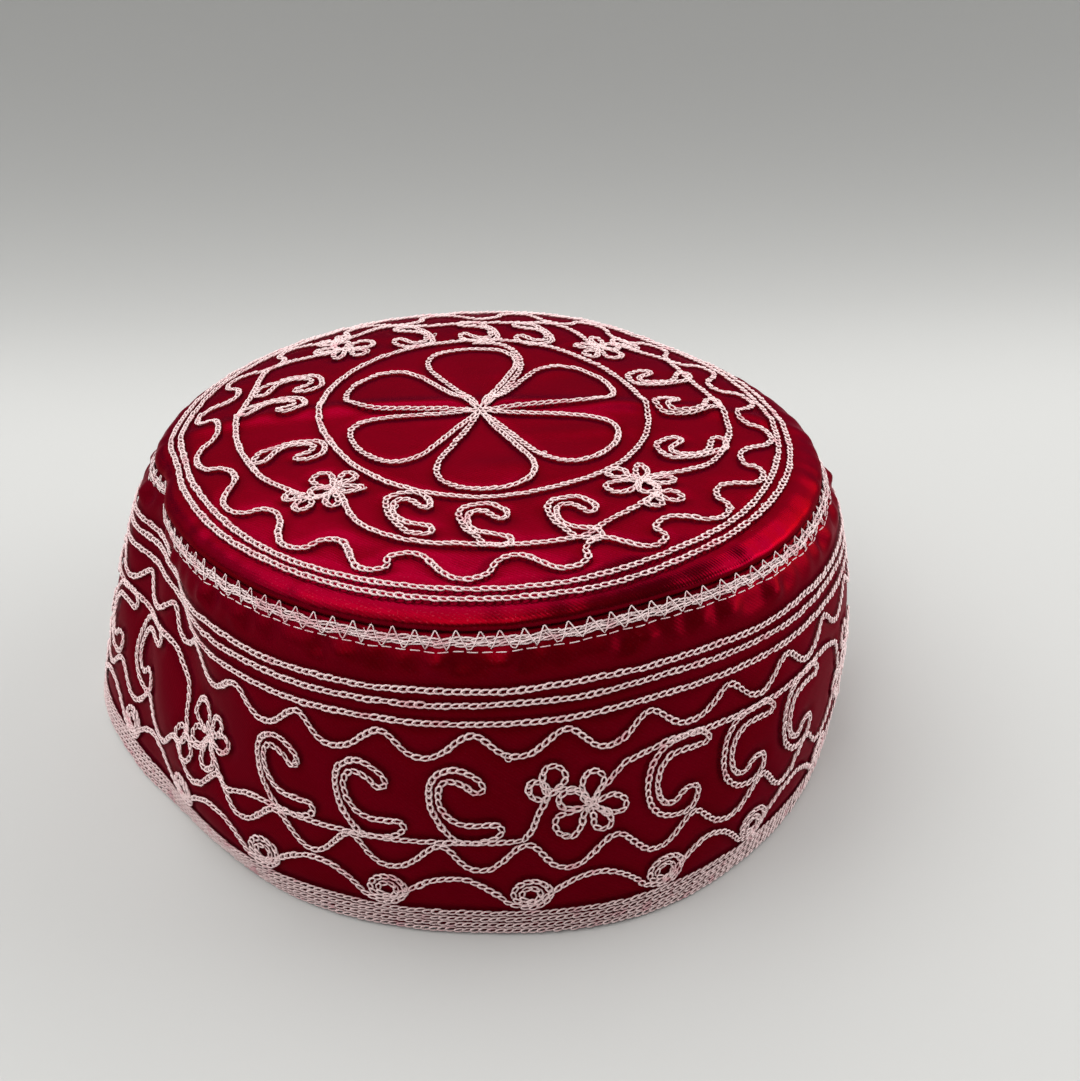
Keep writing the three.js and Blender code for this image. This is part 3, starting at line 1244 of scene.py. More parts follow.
    def quadrants(self) -> list[Path]:
        """The four vines, each with the flower that it leaves and the crescents that stand on it.

        Returns:
            Their paths.
        """
        made = []
        ends = [*self.flowers[1:], (self.flowers[0][0] + 360, self.flowers[0][1])]
        for (angle, share), (next_angle, next_share), stands in zip(self.flowers, ends, self.crescents):
            leave = self.chart.motif(angle, share, CROWN_STEM)
            reach = self.chart.motif(next_angle, next_share, CROWN_ARRIVAL)
            first = math.degrees(math.atan2(leave[-1, 1], leave[-1, 0])) % 360
            last = math.degrees(math.atan2(reach[0, 1], reach[0, 0])) % 360
            last += 360 * (last < first)
            shares = [np.hypot(*end) / self.chart.radius for end in (leave[-1], reach[0])]
            way = np.linspace(0, 1, 9)[1:-1]
            height = np.interp(way, (0, 0.2, 0.8, 1), (shares[0], self.vine, self.vine, shares[1]))
            turned = first + (last - first) * way
            between = self.chart.polar(turned, height + self.pull(turned, self.vine_dip))
            made.append(Path(smooth_line(np.concatenate([leave, between, reach]), closed=False)))
            for number, petal in enumerate(CROWN_PETALS):
                flat = self.chart.motif(angle, share, petal)
                made.append(Path(smooth_line(flat, closed=True), closed=True, lift=PETAL_STEP * (number % 3)))
            faced = sum(place for place, _ in stands) / len(stands)
            for place, inset in stands:
                dip = float(self.pull(np.array(place), self.vine_dip))
                foot = self.vine - inset / self.chart.radius + dip
                flat = self.chart.motif(place, foot, CROWN_CRESCENT, faced)
                made.append(Path(smooth_line(flat, closed=True), closed=True, lift=CRESCENT_LIFT))
        return made

    def groups(self) -> dict[str, list[Path]]:
        """The paths of each piece.

        Returns:
            Paths by the piece's name.
        """
        star = [self.petal(*petal) for petal in self.petals]
        rings = [self.ring(share, 41 + n) for n, share in enumerate(self.rings)]
        return {
            "crown_star": [*star, self.ring_about_star(), self.star_lead()],
            "crown_rings": [*rings, self.wave()],
            "crown_motifs": self.quadrants(),
        }


@dataclass(frozen=True)
class SeamChart:
    """Lays stitches over the seam: millimetres along it, and up onto the crown or down onto the band."""

    form: CapForm
    samples: int = 2881
    cord_out: float = 0.35
    cord_half: float = 1.3
    drop: float = 1.2
    lean: Pair = (0.04, 0.1)

    def __post_init__(self) -> None:
        """Works out once how far along the seam each angle is."""
        angle = np.linspace(0, TURN, self.samples)
        line = self.form.band(angle, np.ones_like(angle))
        run = run_along(line)
        object.__setattr__(self, "angle", angle)
        object.__setattr__(self, "run", run)

    @property
    def length(self) -> float:
        """The seam's length all round."""
        return float(self.run[-1])

    def angle_at(self, along: Array) -> Array:
        """The angle round the cap that lies so far along the seam."""
        return np.interp(np.mod(along, self.length), self.run, self.angle)

    def point(self, flat: Array) -> Array:
        """Points of the cloth under the stitching, whose middle lies a little under the seam.

        Along that middle the cloth is raised by a parabola, as over a cord.

        Args:
            flat: Millimetres along and up.

        Returns:
            Points in millimetres.
        """
        angle, up = self.angle_at(flat[:, 0]), flat[:, 1] - self.drop
        tall = self.form.section(Column.HEIGHT, angle)
        over = self.form.crown(angle, np.arccos(np.clip(up / self.form.rise, 0, 1)))
        under = self.form.band(angle, 1 + np.minimum(up, 0) / tall)
        cloth = np.where(up[:, None] > 0, over, under)
        pad = self.cord_out * np.clip(1 - (flat[:, 1] / self.cord_half) ** 2, 0, 1)
        return cloth + self.normal(flat) * pad[:, None]

    def normal(self, flat: Array) -> Array:
        """Directions out of the seam, leaning up where the crown rolls over."""
        angle = self.angle_at(flat[:, 0])
        return unit(stack(np.cos(angle), np.sin(angle), self.lean[0] + self.lean[1] * flat[:, 1]))


@dataclass
class SeamStitching:
    """What sews the crown to the band: an overcast row, a zigzag over it and a row of running stitches.

    A strand's bounds are how far it reaches up and down and how far it slants. A bow is how high a
    thread lies at its ends and how much higher at its middle.
    """

    chart: SeamChart
    band: BandChart
    core: ChainStitch = ChainStitch(
        Thread(0.42, 0.4), pitch=2.1, reach=1.4, spread=0.36, skew=0.2, start_height=0.5, end_height=0.28
    )
    core_levels: tuple[float, ...] = (0.36, -0.36)
    core_sway: float = 0.16
    core_step: float = 0.1
    strand: Thread = Thread(0.3, 0.28)
    strand_pitch: float = 3.6
    strand_bounds: tuple[tuple[float, ...], ...] = ((0.3, 0.3, 0.6), (0.8, 0.8, 2.4))
    strand_bow: Pair = (0.05, 0.5)
    zigzag: Thread = Thread(0.3, 0.28)
    zigzag_pitch: float = 4.2
    zigzag_peaks: Pair = (1.8, 2.3)
    zigzag_feet: Pair = (-1.5, -1.0)
    zigzag_bow: Pair = (0.3, 0.6)
    zigzag_half: float = 1.6
    dash_thread: Thread = Thread(0.25, 0.23)
    dash: float = 2.7
    dash_gap: float = 0.35
    dash_below: float = 3.05

    def overcast(self, parts: MeshParts) -> None:
        """Adds two narrow chains side by side and slanted strands across them.

        Args:
            parts: The mesh that they are added to.
        """
        wide = np.linspace(0, self.chart.length, 721)
        turn = TURN * wide / self.chart.length
        for number, level in enumerate(self.core_levels):
            sway = Waviness((37, 58, 90), self.core_sway, 0.0, 41 + number).at(turn, 0.0)
            path = Path(stack(wide, level + sway), closed=True, lift=self.core_step * number)
            self.core.sew(parts, self.chart, path, 61 + number)
        chance = np.random.default_rng(71)
        count = round(self.chart.length / self.strand_pitch)
        starts = (np.arange(count) + chance.uniform(-0.3, 0.3, count)) * self.chart.length / count
        heights = np.linspace(1, -1, 6)
        low, more = self.strand_bow
        for start, (top, foot, slant) in zip(starts, chance.uniform(*self.strand_bounds, (count, 3))):
            level = np.where(heights > 0, heights * top, heights * foot)
            flat = stack(start - slant * heights, level)
            line = self.chart.point(flat)
            bow = more * np.sqrt(np.clip(1 - heights**2, 0, 1))[:, None]
            line = line + self.chart.normal(flat) * (low + bow)
            self.strand.tube(parts, line, self.chart.normal(flat), closed=False)

    def zigzags(self, parts: MeshParts) -> None:
        """Adds the zigzag: it climbs steeply to each peak on the crown and comes down gently.

        Args:
            parts: The mesh that it is added to.
        """
        chance = np.random.default_rng(83)
        count = round(self.chart.length / self.zigzag_pitch)
        start = np.arange(count) + chance.uniform(-0.08, 0.08, count)
        peak = chance.uniform(*self.zigzag_peaks, count)
        foot = chance.uniform(*self.zigzag_feet, count)
        climb = rows((0, 0), (0.1, 0.22), (0.24, 0.66), (0.34, 0.97), (0.38, 1))
        turns = np.concatenate([climb, rows((0.43, 0.93), (0.7, 0.45), (0.93, 0.06))])
        level = foot[:, None] + (peak - foot)[:, None] * turns[:, 1]
        flat = stack((start[:, None] + turns[:, 0]) * self.chart.length / count, level).reshape(-1, 2)
        low, more = self.zigzag_bow
        over = low + more * np.clip(1 - (flat[:, 1:] / self.zigzag_half) ** 2, 0, 1)
        line = self.chart.point(flat) + self.chart.normal(flat) * over
        self.zigzag.tube(parts, line, self.chart.normal(flat), closed=True)

    def running(self, parts: MeshParts) -> None:
        """Adds the running stitches on the band just under the seam, each bowed out of the cloth.

        Args:
            parts: The mesh that they are added to.
        """
        chance = np.random.default_rng(97)
        pitch = self.dash + self.dash_gap
        count = round(self.band.length / pitch)
        along = (np.arange(count) + chance.uniform(-0.06, 0.06, count)) * self.band.length / count
        stray = Waviness((1, 3, 6), 0.25, 0.0, 12).at(along / self.band.length * TURN, 0.0)
        bow = rows((-0.5, -0.25), (-0.38, 0.13), (0, 0.2), (0.38, 0.13), (0.5, -0.25))
        for middle, under in zip(along, self.dash_below + stray):
            outline = stack(bow[:, 0] * self.dash, -under)
            flat = self.band.motif(middle / self.band.length, 1.0, outline)
            up = self.band.normal(flat)
            self.dash_thread.tube(parts, self.band.point(flat) + up * bow[:, 1:], up, closed=False)


@dataclass
class LooseEnds:
    """Small curls of thread that stand off the chains where a stitch was caught badly."""

    thread: Thread = Thread(0.2, 0.2)
    radius: float = 0.75
    count: int = 26
    seed: int = 5

    def curl(self, parts: MeshParts, chart: BandChart | CrownChart, groups: dict[str, list[Path]]) -> None:
        """Adds curls at random places of some paths: arcs of a circle that start and end in the cloth.

        Args:
            parts: The mesh that they are added to.
            chart: What lays the paths on the cloth.
            groups: Lines of stitching by the piece's name.
        """
        paths = [path for group in groups.values() for path in group]
        chance = np.random.default_rng(self.seed)
        turn = np.linspace(-0.35, 1.25, 12) * math.pi
        for _ in range(self.count):
            flat = paths[int(chance.integers(len(paths)))].flat
            first = int(chance.integers(1, len(flat) - 2))
            near = flat[first : first + 2]
            point, up = chart.point(near), chart.normal(near)[0]
            along = unit(point[1] - point[0])
            side = np.cross(up, along) * chance.choice((-1, 1))
            size = self.radius * chance.uniform(0.6, 1.4)
            lean = chance.uniform(0.15, 0.6)
            ring = along * np.cos(turn)[:, None] + (side + lean * up) * (np.sin(turn)[:, None] + 0.35)
            line = point[0] + size * ring + up * 0.3
            self.thread.tube(parts, line, np.broadcast_to(unit(up - 0.4 * side), line.shape), closed=False)


def nearest(points: Array, marks: Array, chunk: int = 1500) -> Array:
    """How far each point is from the nearest of some marks.

    Args:
        points: The points.
        marks: The marks.
        chunk: How many points are worked out together.

    Returns:
        One distance for each point.
    """
    marks = marks.astype(np.float32)
    size = (marks**2).sum(-1)
    found = []
    for start in range(0, len(points), chunk):
        part = points[start : start + chunk].astype(np.float32)
        square = (part**2).sum(-1)[:, None] + size - 2 * part @ marks.T
        found.append(np.sqrt(np.maximum(square.min(axis=1), 0)))
    return np.concatenate(found)


@dataclass
class Quilting:
    """How stitching draws the cloth in: a dip along each line and a faint swell between lines."""

    marks: Array
    dip: float = 0.32
    reach: float = 1.5
    swell: float = 0.16

    def at(self, points: Array) -> tuple[Array, Array]:
        """How far points move out, in millimetres, and how near the stitching they are, from 0 to 1.

        Args:
            points: A grid of points on the cloth.

        Returns:
            The offsets and the nearness, each of the grid's shape.
        """
        away = nearest(points.reshape(-1, 3), self.marks).reshape(points.shape[:2]) / self.reach
        near = np.exp(-(away**2))
        return self.swell * smoothstep((away - 0.6) / 1.6) - self.dip * near, near


@dataclass
class BandCloth:
    """The side band: a closed wall of satin, its right side out.

    Edge_fades are the shares of the height over which the dents of the stitching fade out, at the
    seam and at the hem.
    """

    form: CapForm
    chart: BandChart
    quilting: Quilting
    around: int = 520
    rows_out: int = 92
    rows_in: int = 18
    crowding: float = 0.06
    edge_fades: Pair = (0.03, 0.05)
    hem_roll: float = 0.7
    seam_step: float = 0.2

    def mesh(self, placing: Placing, materials: Sequence[Material]) -> Object:
        """Builds the wall: outside from hem to seam, inside back down, and rolled edges between.

        A sine makes its rows lie a little closer together at mid height.

        Args:
            placing: What puts it into the frame.
            materials: The satin's right side and its back.

        Returns:
            The piece.
        """
        along = np.linspace(0, self.chart.length, self.around + 1)
        angle = self.chart.angle_at(along[:-1])
        up = np.linspace(0, 1, self.rows_out)
        share = up + self.crowding * np.sin(TURN * up) / TURN
        out_angle, out_share = np.meshgrid(angle, share)
        outside = self.form.band(out_angle, out_share)
        push, near = self.quilting.at(outside)
        facing = self.form.normal(self.form.band, out_angle, out_share)
        at_seam, at_hem = self.edge_fades
        fade = smoothstep((1 - out_share) / at_seam) * smoothstep(out_share / at_hem)
        outside = outside + facing * (push * fade)[..., None]
        in_angle, in_share = np.meshgrid(angle, np.linspace(1, 0, self.rows_in))
        inner = self.form.band(in_angle, in_share)
        inner = inner - self.form.cloth * self.form.normal(self.form.band, in_angle, in_share)
        outside[0, :, 2], inner[-1, :, 2] = self.hem_roll, self.hem_roll
        under = (outside[:1] + inner[-1:]) / 2 * [1, 1, 0]
        inner[0, :, 2] = np.minimum(inner[0, :, 2], outside[-1, :, 2] - self.seam_step)
        shell = np.concatenate([under, outside, inner])
        faces = grid_faces(len(shell), self.around, True, True)
        roll = 2
        inner_level = np.linspace(WALL + roll, 2 * WALL + roll, self.rows_in)
        level = np.concatenate([[0], share * WALL, inner_level, [2 * (WALL + roll)]])
        parts = MeshParts()
        parts.vertices(shell)
        i, j = np.divmod(np.arange(len(faces)), self.around)
        places = np.stack([stack(along[j + b], level[i + a]) for a, b in CORNERS], axis=1)
        back = i >= self.rows_out
        for slot, chosen in enumerate((~back, back)):
            parts.fill(faces[chosen][:, ::-1], places[chosen][:, ::-1], slot)
        made = parts.build("band_cloth", placing, materials)
        # The nearness to stitching, which the satin's material paints darker as painted shade.
        mark_vertices(made, "painted_shade_mask", near, self.around)
        return made


@dataclass
class CrownCloth:
    """The crown: a closed round panel of satin whose rim rolls down to the seam.

    The satin is painted darker beside the seam, as painted shade: the first number is how dark, and the
    second how far up, in millimetres, that reaches.
    """

    form: CapForm
    chart: CrownChart
    quilting: Quilting
    around: int = 440
    rows_out: int = 88
    rows_in: int = 20
    middle: float = 0.8
    # Painted shade beside the seam: how dark, and how far up in millimetres.
    seam_painted_shade: Pair = (2.2, 2.4)
    seam_fade: float = 0.2
    seam_step: float = 0.1
    square_to: float = math.pi / 2 - 2e-3

    def mesh(self, placing: Placing, materials: Sequence[Material]) -> Object:
        """Builds the panel: its top from the middle to the seam and its underside back to the middle.

        Rows lie evenly along the profile. Directions square to it are found up to square_to radians.

        Args:
            placing: What puts it into the frame.
            materials: The satin's right side and its back.

        Returns:
            The piece.
        """
        angle = TURN * np.arange(self.around) / self.around
        fine = np.linspace(0, math.pi / 2, 2001)
        bow = 2 / self.form.squareness
        profile = stack(self.chart.radius * np.sin(fine) ** bow, self.form.rise * np.cos(fine))
        run = run_along(profile)
        turn = np.interp(np.linspace(self.middle, run[-1], self.rows_out), run, fine)
        out_angle, out_turn = np.meshgrid(angle, turn)
        top = self.form.crown(out_angle, out_turn)
        push, near = self.quilting.at(top)
        # Painted shade beside the seam, joined to the stitching's nearness.
        shade, reach = self.seam_painted_shade
        near = np.maximum(near, shade * np.exp(-((self.form.rise * np.cos(out_turn) / reach) ** 2)))
        facing = self.form.normal(self.form.crown, out_angle, np.minimum(out_turn, self.square_to))
        fade = smoothstep((math.pi / 2 - out_turn) / self.seam_fade)
        top = top + facing * (push * fade)[..., None]
        in_angle, in_turn = np.meshgrid(angle, turn[:: -max(1, self.rows_out // self.rows_in)])
        below = self.form.crown(in_angle, in_turn)
        outward = self.form.normal(self.form.crown, in_angle, np.minimum(in_turn, self.square_to))
        below = below - self.form.cloth * outward
        below[0, :, 2] = np.maximum(below[0, :, 2], top[-1, :, 2] + self.seam_step)
        shell = np.concatenate([top, below])
        share = np.abs(np.sin(np.concatenate([turn, in_turn[:, 0]]))) ** bow
        flat = self.chart.radius * share[:, None, None] * stack(np.cos(angle), np.sin(angle))
        parts = MeshParts()
        parts.vertices(shell)
        poles = parts.vertices(np.stack([top[0].mean(axis=0), below[-1].mean(axis=0)]))
        faces = grid_faces(len(shell), self.around, False, True)
        under = faces[:, 0] // self.around >= self.rows_out - 1
        spread = flat.reshape(-1, 2)
        for slot, chosen in enumerate((~under, under)):
            parts.fill(faces[chosen], spread[faces[chosen]], slot)
        ring = np.arange(self.around)
        after = np.roll(ring, -1)
        last = (len(shell) - 1) * self.around
        fans = (stack(ring, after, poles), stack(last + after, last + ring, poles + 1))
        for slot, fan in enumerate(fans):
            places = np.concatenate([spread[fan[:, :2]], np.zeros((self.around, 1, 2))], axis=1)
            parts.fill(fan, places, slot)
        made = parts.build("crown_cloth", placing, materials)
        # The nearness to stitching and the seam, which the satin's material paints darker as painted shade.
        mark_vertices(made, "painted_shade_mask", near, 0)
        return made


@dataclass
class Wiring:
    """A node tree, with one short way to add a node and join it up."""

    tree: NodeTree

    def add(self, kind: str, inputs: dict | None = None, **settings: object) -> Node:
        """Adds a node.

        Args:
            kind: Its type's name.
            inputs: What goes into its sockets, by name or number: a value, or a socket to join.
            settings: Its own properties.

        Returns:
            The node.
        """
        made = self.tree.nodes.new(kind)
        for name, value in settings.items():
            setattr(made, name, value)
        for name, value in (inputs or {}).items():
            if isinstance(value, NodeSocket):
                self.tree.links.new(value, made.inputs[name])
            else:
                made.inputs[name].default_value = value
        return made

    def math(self, operation: str, *values: object) -> NodeSocket:
        """Adds a Math node and gives its output."""
        return self.add("ShaderNodeMath", dict(enumerate(values)), operation=operation).outputs[0]

    def noise(self, place: object, scale: float, detail: float) -> NodeSocket:
        """Adds a Noise Texture and gives its output, between 0 and 1."""
        inputs = {"Vector": place, "Scale": scale, "Detail": detail}
        return self.add("ShaderNodeTexNoise", inputs).outputs[0]

    def group(self, tree: NodeTree, inputs: dict[str, object]) -> Node:
        """Adds a shared node group with its own values."""
        return self.add("ShaderNodeGroup", inputs, node_tree=tree)

    def blend(self, amount: object, first: object, second: object) -> NodeSocket:
        """Adds a node that mixes two colours and gives its output."""
        inputs = {0: amount, 6: first, 7: second}
        return self.add("ShaderNodeMix", inputs, data_type="RGBA").outputs[2]

    def bump(self, height: object, strength: float, distance: float, under: object = (0, 0, 0)) -> object:
        """Adds a Bump node, over the normal of another one if there is one, and gives its output."""
        inputs = {"Height": height, "Strength": strength, "Distance": distance, "Normal": under}
        return self.add("ShaderNodeBump", inputs).outputs[0]

    def spread(self, value: object, low: float, high: float, to_low: float = 0, to_high: float = 1) -> object:
        """Adds a node that maps one range of values to another and gives its output."""
        inputs = {0: value, 1: low, 2: high, 3: to_low, 4: to_high}
        return self.add("ShaderNodeMapRange", inputs).outputs[0]


def new_material(name: str) -> tuple[Material, Wiring]:
    """A new material without nodes.

    Args:
        name: Its name.

    Returns:
        The material and its wiring.
    """
    made = bpy.data.materials.new(name)
    made.use_nodes = True
    made.node_tree.nodes.clear()
    return made, Wiring(made.node_tree)


def new_group(name: str, inputs: dict[str, object], outputs: Sequence[str]) -> tuple[Wiring, dict, object]:
    """A new shader node group.

    Args:
        name: The group's name.
        inputs: For each input, its default number, or None for a vector.
        outputs: The outputs' names, all of them numbers.

    Returns:
        Its wiring, its inputs' sockets by name, and its output node.
    """
    tree = bpy.data.node_groups.new(name, "ShaderNodeTree")
    for title, value in inputs.items():
        kind = "NodeSocketVector" if value is None else "NodeSocketFloat"
        socket = tree.interface.new_socket(title, in_out="INPUT", socket_type=kind)
        if value is not None:
            socket.default_value = value
    for title in outputs:
        tree.interface.new_socket(title, in_out="OUTPUT", socket_type="NodeSocketFloat")
    wiring = Wiring(tree)
    given = wiring.add("NodeGroupInput")
    return wiring, {title: given.outputs[title] for title in inputs}, wiring.add("NodeGroupOutput")


def twill_group() -> NodeTree:
    """Fine slanting ribs, as the weave of satin shows: a sine across them, broken up by noise.

    Returns:
        A group that turns millimetres on the cloth into Height, Shade and a sparse mask of painted glints.
    """
    wiring, given, ending = new_group(
        "fine_twill", {"Cloth": None, "Pitch": 0.62, "Lean": 0.6}, ("Height", "Shade", "Glints")
    )
    turning = {"Vector": given["Cloth"], "Angle": given["Lean"]}
    turned = wiring.add("ShaderNodeVectorRotate", turning, rotation_type="Z_AXIS").outputs[0]
    along, aside, _ = wiring.add("ShaderNodeSeparateXYZ", {0: turned}).outputs
    long = wiring.add("ShaderNodeCombineXYZ", {0: wiring.math("MULTIPLY", along, 0.25), 1: aside})
    slub = wiring.noise(long.outputs[0], 1.3, 3.0)
    across = wiring.math("DIVIDE", aside, given["Pitch"])
    phase = wiring.math("ADD", wiring.math("MULTIPLY", across, TURN), wiring.math("MULTIPLY", slub, 3.0))
    rib = wiring.spread(wiring.math("SINE", phase), -1, 1)
    height = wiring.math("MULTIPLY", rib, wiring.spread(slub, 0.3, 0.7, 0.35, 1))
    shade = wiring.math("ADD", wiring.math("MULTIPLY", rib, 0.4), slub)
    glint_specks = wiring.spread(wiring.noise(given["Cloth"], 2.4, 0.0), 0.64, 0.76)
    for name, value in {"Height": height, "Shade": shade, "Glints": glint_specks}.items():
        wiring.tree.links.new(value, ending.inputs[name])
    return wiring.tree


def mottle_group() -> NodeTree:
    """Soft patches of a chosen size in metres.

    Returns:
        A group that turns a place into a Mask from 0 to 1.
    """
    inputs = {"Place": None, "Size": 0.01, "Low": 0.4, "High": 0.6}
    wiring, given, ending = new_group("soft_patches", inputs, ["Mask"])
    scaled = wiring.add("ShaderNodeVectorMath", {0: given["Place"]}, operation="SCALE")
    wiring.tree.links.new(wiring.math("DIVIDE", 1.0, given["Size"]), scaled.inputs["Scale"])
    noise = wiring.noise(scaled.outputs[0], 1.0, 2.0)
    ranges = {0: noise, 1: given["Low"], 2: given["High"], 3: 0.0, 4: 1.0}
    mask = wiring.add("ShaderNodeMapRange", ranges, interpolation_type="SMOOTHSTEP").outputs[0]
    wiring.tree.links.new(mask, ending.inputs["Mask"])
    return wiring.tree


def ply_group() -> NodeTree:
    """The twist of a thread: ridges that wind round it, from its own millimetres along and round.

    Returns:
        A group that turns them into Height.
    """
    wiring, given, ending = new_group("thread_twist", {"Thread": None, "Pitch": 0.5}, ["Height"])
    along, around, _ = wiring.add("ShaderNodeSeparateXYZ", {0: given["Thread"]}).outputs
    wound = wiring.math("ADD", along, wiring.math("MULTIPLY", around, 0.55))
    turn = wiring.math("MULTIPLY", wiring.math("DIVIDE", wound, given["Pitch"]), TURN)
    wiring.tree.links.new(wiring.spread(wiring.math("SINE", turn), -1, 1), ending.inputs["Height"])
    return wiring.tree


@dataclass(frozen=True)
class SharedGroups:
    """The node groups that more than one finish uses."""

    twill: NodeTree
    mottle: NodeTree
    ply: NodeTree

    @classmethod
    def build(cls) -> SharedGroups:
        """Makes the groups."""
        return cls(twill_group(), mottle_group(), ply_group())


@dataclass(frozen=True)
class SatinFinish:
    """Dyed satin: a shine of its own colour, fine ribs and soft uneven patches.

    Its colour runs from deep to bright with the patches and the ribs, has sparse pale flecks that are
    painted glints, turns to a painted sheen where it is seen edge on, and is painted darker beside
    stitches, as painted shade.
    """

    name: str
    deep: Colour
    bright: Colour
    roughness: float
    metallic: float
    rib_height: float
    specular: float = 0.1
    sheen: float = 0.0
    # Painted glints: how much of the sparse pale flecks is mixed into the colour, and their colour.
    glint_specks: float = 0.02
    glint_colour: Colour = (0.8, 0.16, 0.24)
    # Painted sheen: the colour that the satin turns to where it is seen edge on.
    edge_sheen: Colour = (0.14, 0.0002, 0.013)
    rib_lean: float = 0.62
    patch_size: float = 0.022
    patch_share: float = 0.45
    rib_share: float = 0.6
    dimming: float = -0.25
    # Painted shade: how much darker the satin is painted beside stitching.
    stitch_painted_shade: float = 0.3
    crumple: Triple = (90.0, 0.35, 0.0006)
    uneven_gloss: Pair = (-0.04, 0.05)
    shine: Colour = (0.55, 0.02, 0.08)
    nap: Colour = (0.9, 0.12, 0.2)

    def material(self, groups: SharedGroups) -> Material:
        """Builds the material.

        Args:
            groups: The shared node groups.

        Returns:
            The material.
        """
        made, wiring = new_material(self.name)
        cloth = wiring.add("ShaderNodeUVMap", uv_map="cloth_mm").outputs[0]
        place = wiring.add("ShaderNodeTexCoord").outputs["Object"]
        twill = wiring.group(groups.twill, {"Cloth": cloth, "Lean": self.rib_lean})
        sizes = {"Place": place, "Size": self.patch_size, "Low": 0.3, "High": 0.7}
        patch = wiring.group(groups.mottle, sizes).outputs[0]
        tone = wiring.math("ADD", wiring.math("MULTIPLY", patch, self.patch_share), self.dimming)
        tone = wiring.math("ADD", tone, wiring.math("MULTIPLY", twill.outputs["Shade"], self.rib_share))
        colour = wiring.blend(wiring.spread(tone, 0, 1), (*self.deep, 1), (*self.bright, 1))
        # Painted glints: sparse pale flecks mixed into the satin's colour.
        painted_glints = wiring.math("MULTIPLY", twill.outputs["Glints"], self.glint_specks)
        colour = wiring.blend(painted_glints, colour, (*self.glint_colour, 1))
        # Painted sheen: the colour turns towards the edge colour where the satin is seen edge on.
        facing = wiring.add("ShaderNodeLayerWeight", {"Blend": 0.5}).outputs["Facing"]
        colour = wiring.blend(facing, colour, (*self.edge_sheen, 1))
        # Painted shade beside stitches and the seam, from the nearness that each cloth marks on its vertices.
        near = wiring.add("ShaderNodeAttribute", attribute_name="painted_shade_mask").outputs["Fac"]
        painted_shade_colour = tuple(self.stitch_painted_shade * part for part in self.deep)
        colour = wiring.blend(wiring.math("MULTIPLY", near, self.stitch_painted_shade), colour, (*painted_shade_colour, 1))
        scale, strength, depth = self.crumple
        soft = wiring.bump(wiring.noise(place, scale, 2.0), strength, depth)
        ribs = wiring.bump(twill.outputs["Height"], 1.0, self.rib_height * MM, soft)
        glossier, duller = (self.roughness + change for change in self.uneven_gloss)
        sockets = {
            "Base Color": colour,
            "Normal": ribs,
            "Roughness": wiring.spread(patch, 0, 1, glossier, duller),
            "Metallic": self.metallic,
            "IOR": 1.1,
            "Specular IOR Level": self.specular,
            "Specular Tint": (*self.shine, 1),
            "Sheen Weight": self.sheen,
            "Sheen Roughness": 0.4,
            "Sheen Tint": (*self.nap, 1),
        }
        shader = wiring.add("ShaderNodeBsdfPrincipled", sockets)
        wiring.add("ShaderNodeOutputMaterial", {"Surface": shader.outputs[0]})
        made.diffuse_color = (*self.bright, 1)
        return made


@dataclass(frozen=True)
class ThreadFinish:
    """White embroidery thread, here and there stained pink by the cloth's dye.

    It is painted darker in the furrows of its twist, as painted shade, and deep in a stitch it is
    painted darker and redder, as painted shade and painted red bounce light from the cloth, keeping
    for each channel a share of the white.
    """

    name: str
    white: Colour
    stain: Colour
    stain_from: float
    stain_range: float = 0.16
    stain_size: float = 0.004
    # Painted shade: the share of the white that is left in the furrows of the twist.
    groove_painted_shade: float = 0.82
    # Painted shade and painted red bounce light deep in a stitch: the share of the white left there, and
    # where on the depth it fades in.
    painted_hollow_shade: Colour = (0.4, 0.2, 0.2)
    painted_hollow_range: tuple[float, float, float, float] = (0.22, 0.85, 0, 0.9)
    twist: Pair = (0.8, 0.06)

    def material(self, groups: SharedGroups) -> Material:
        """Builds the material.

        Args:
            groups: The shared node groups.

        Returns:
            The material.
        """
        made, wiring = new_material(self.name)
        thread = wiring.add("ShaderNodeUVMap", uv_map="cloth_mm").outputs[0]
        place = wiring.add("ShaderNodeTexCoord").outputs["Object"]
        low, high = self.stain_from, self.stain_from + self.stain_range
        sizes = {"Place": place, "Size": self.stain_size, "Low": low, "High": high}
        stained = wiring.group(groups.mottle, sizes).outputs[0]
        ply = wiring.group(groups.ply, {"Thread": thread}).outputs[0]
        colour = wiring.blend(stained, (*self.white, 1), (*self.stain, 1))
        # Painted shade in the furrows of the twist.
        painted_groove_colour = tuple(self.groove_painted_shade * part for part in self.white)
        colour = wiring.blend(wiring.spread(ply, 0.55, 0, 0, 0.6), colour, (*painted_groove_colour, 1))
        # Painted shade and painted red bounce light deep in a stitch, read from each vertex's depth.
        deep = wiring.add("ShaderNodeAttribute", attribute_name="depth").outputs["Fac"]
        painted_hollow_shade = tuple(part * share for part, share in zip(self.white, self.painted_hollow_shade))
        colour = wiring.blend(wiring.spread(deep, *self.painted_hollow_range), colour, (*painted_hollow_shade, 1))
        sockets = {
            "Base Color": colour,
            "Normal": wiring.bump(ply, self.twist[0], self.twist[1] * MM),
            "Roughness": 0.5,
            "Specular IOR Level": 0.5,
            "Sheen Weight": 0.25,
            "Sheen Roughness": 0.5,
        }
        shader = wiring.add("ShaderNodeBsdfPrincipled", sockets)
        wiring.add("ShaderNodeOutputMaterial", {"Surface": shader.outputs[0]})
        made.diffuse_color = (*self.white, 1)
        return made


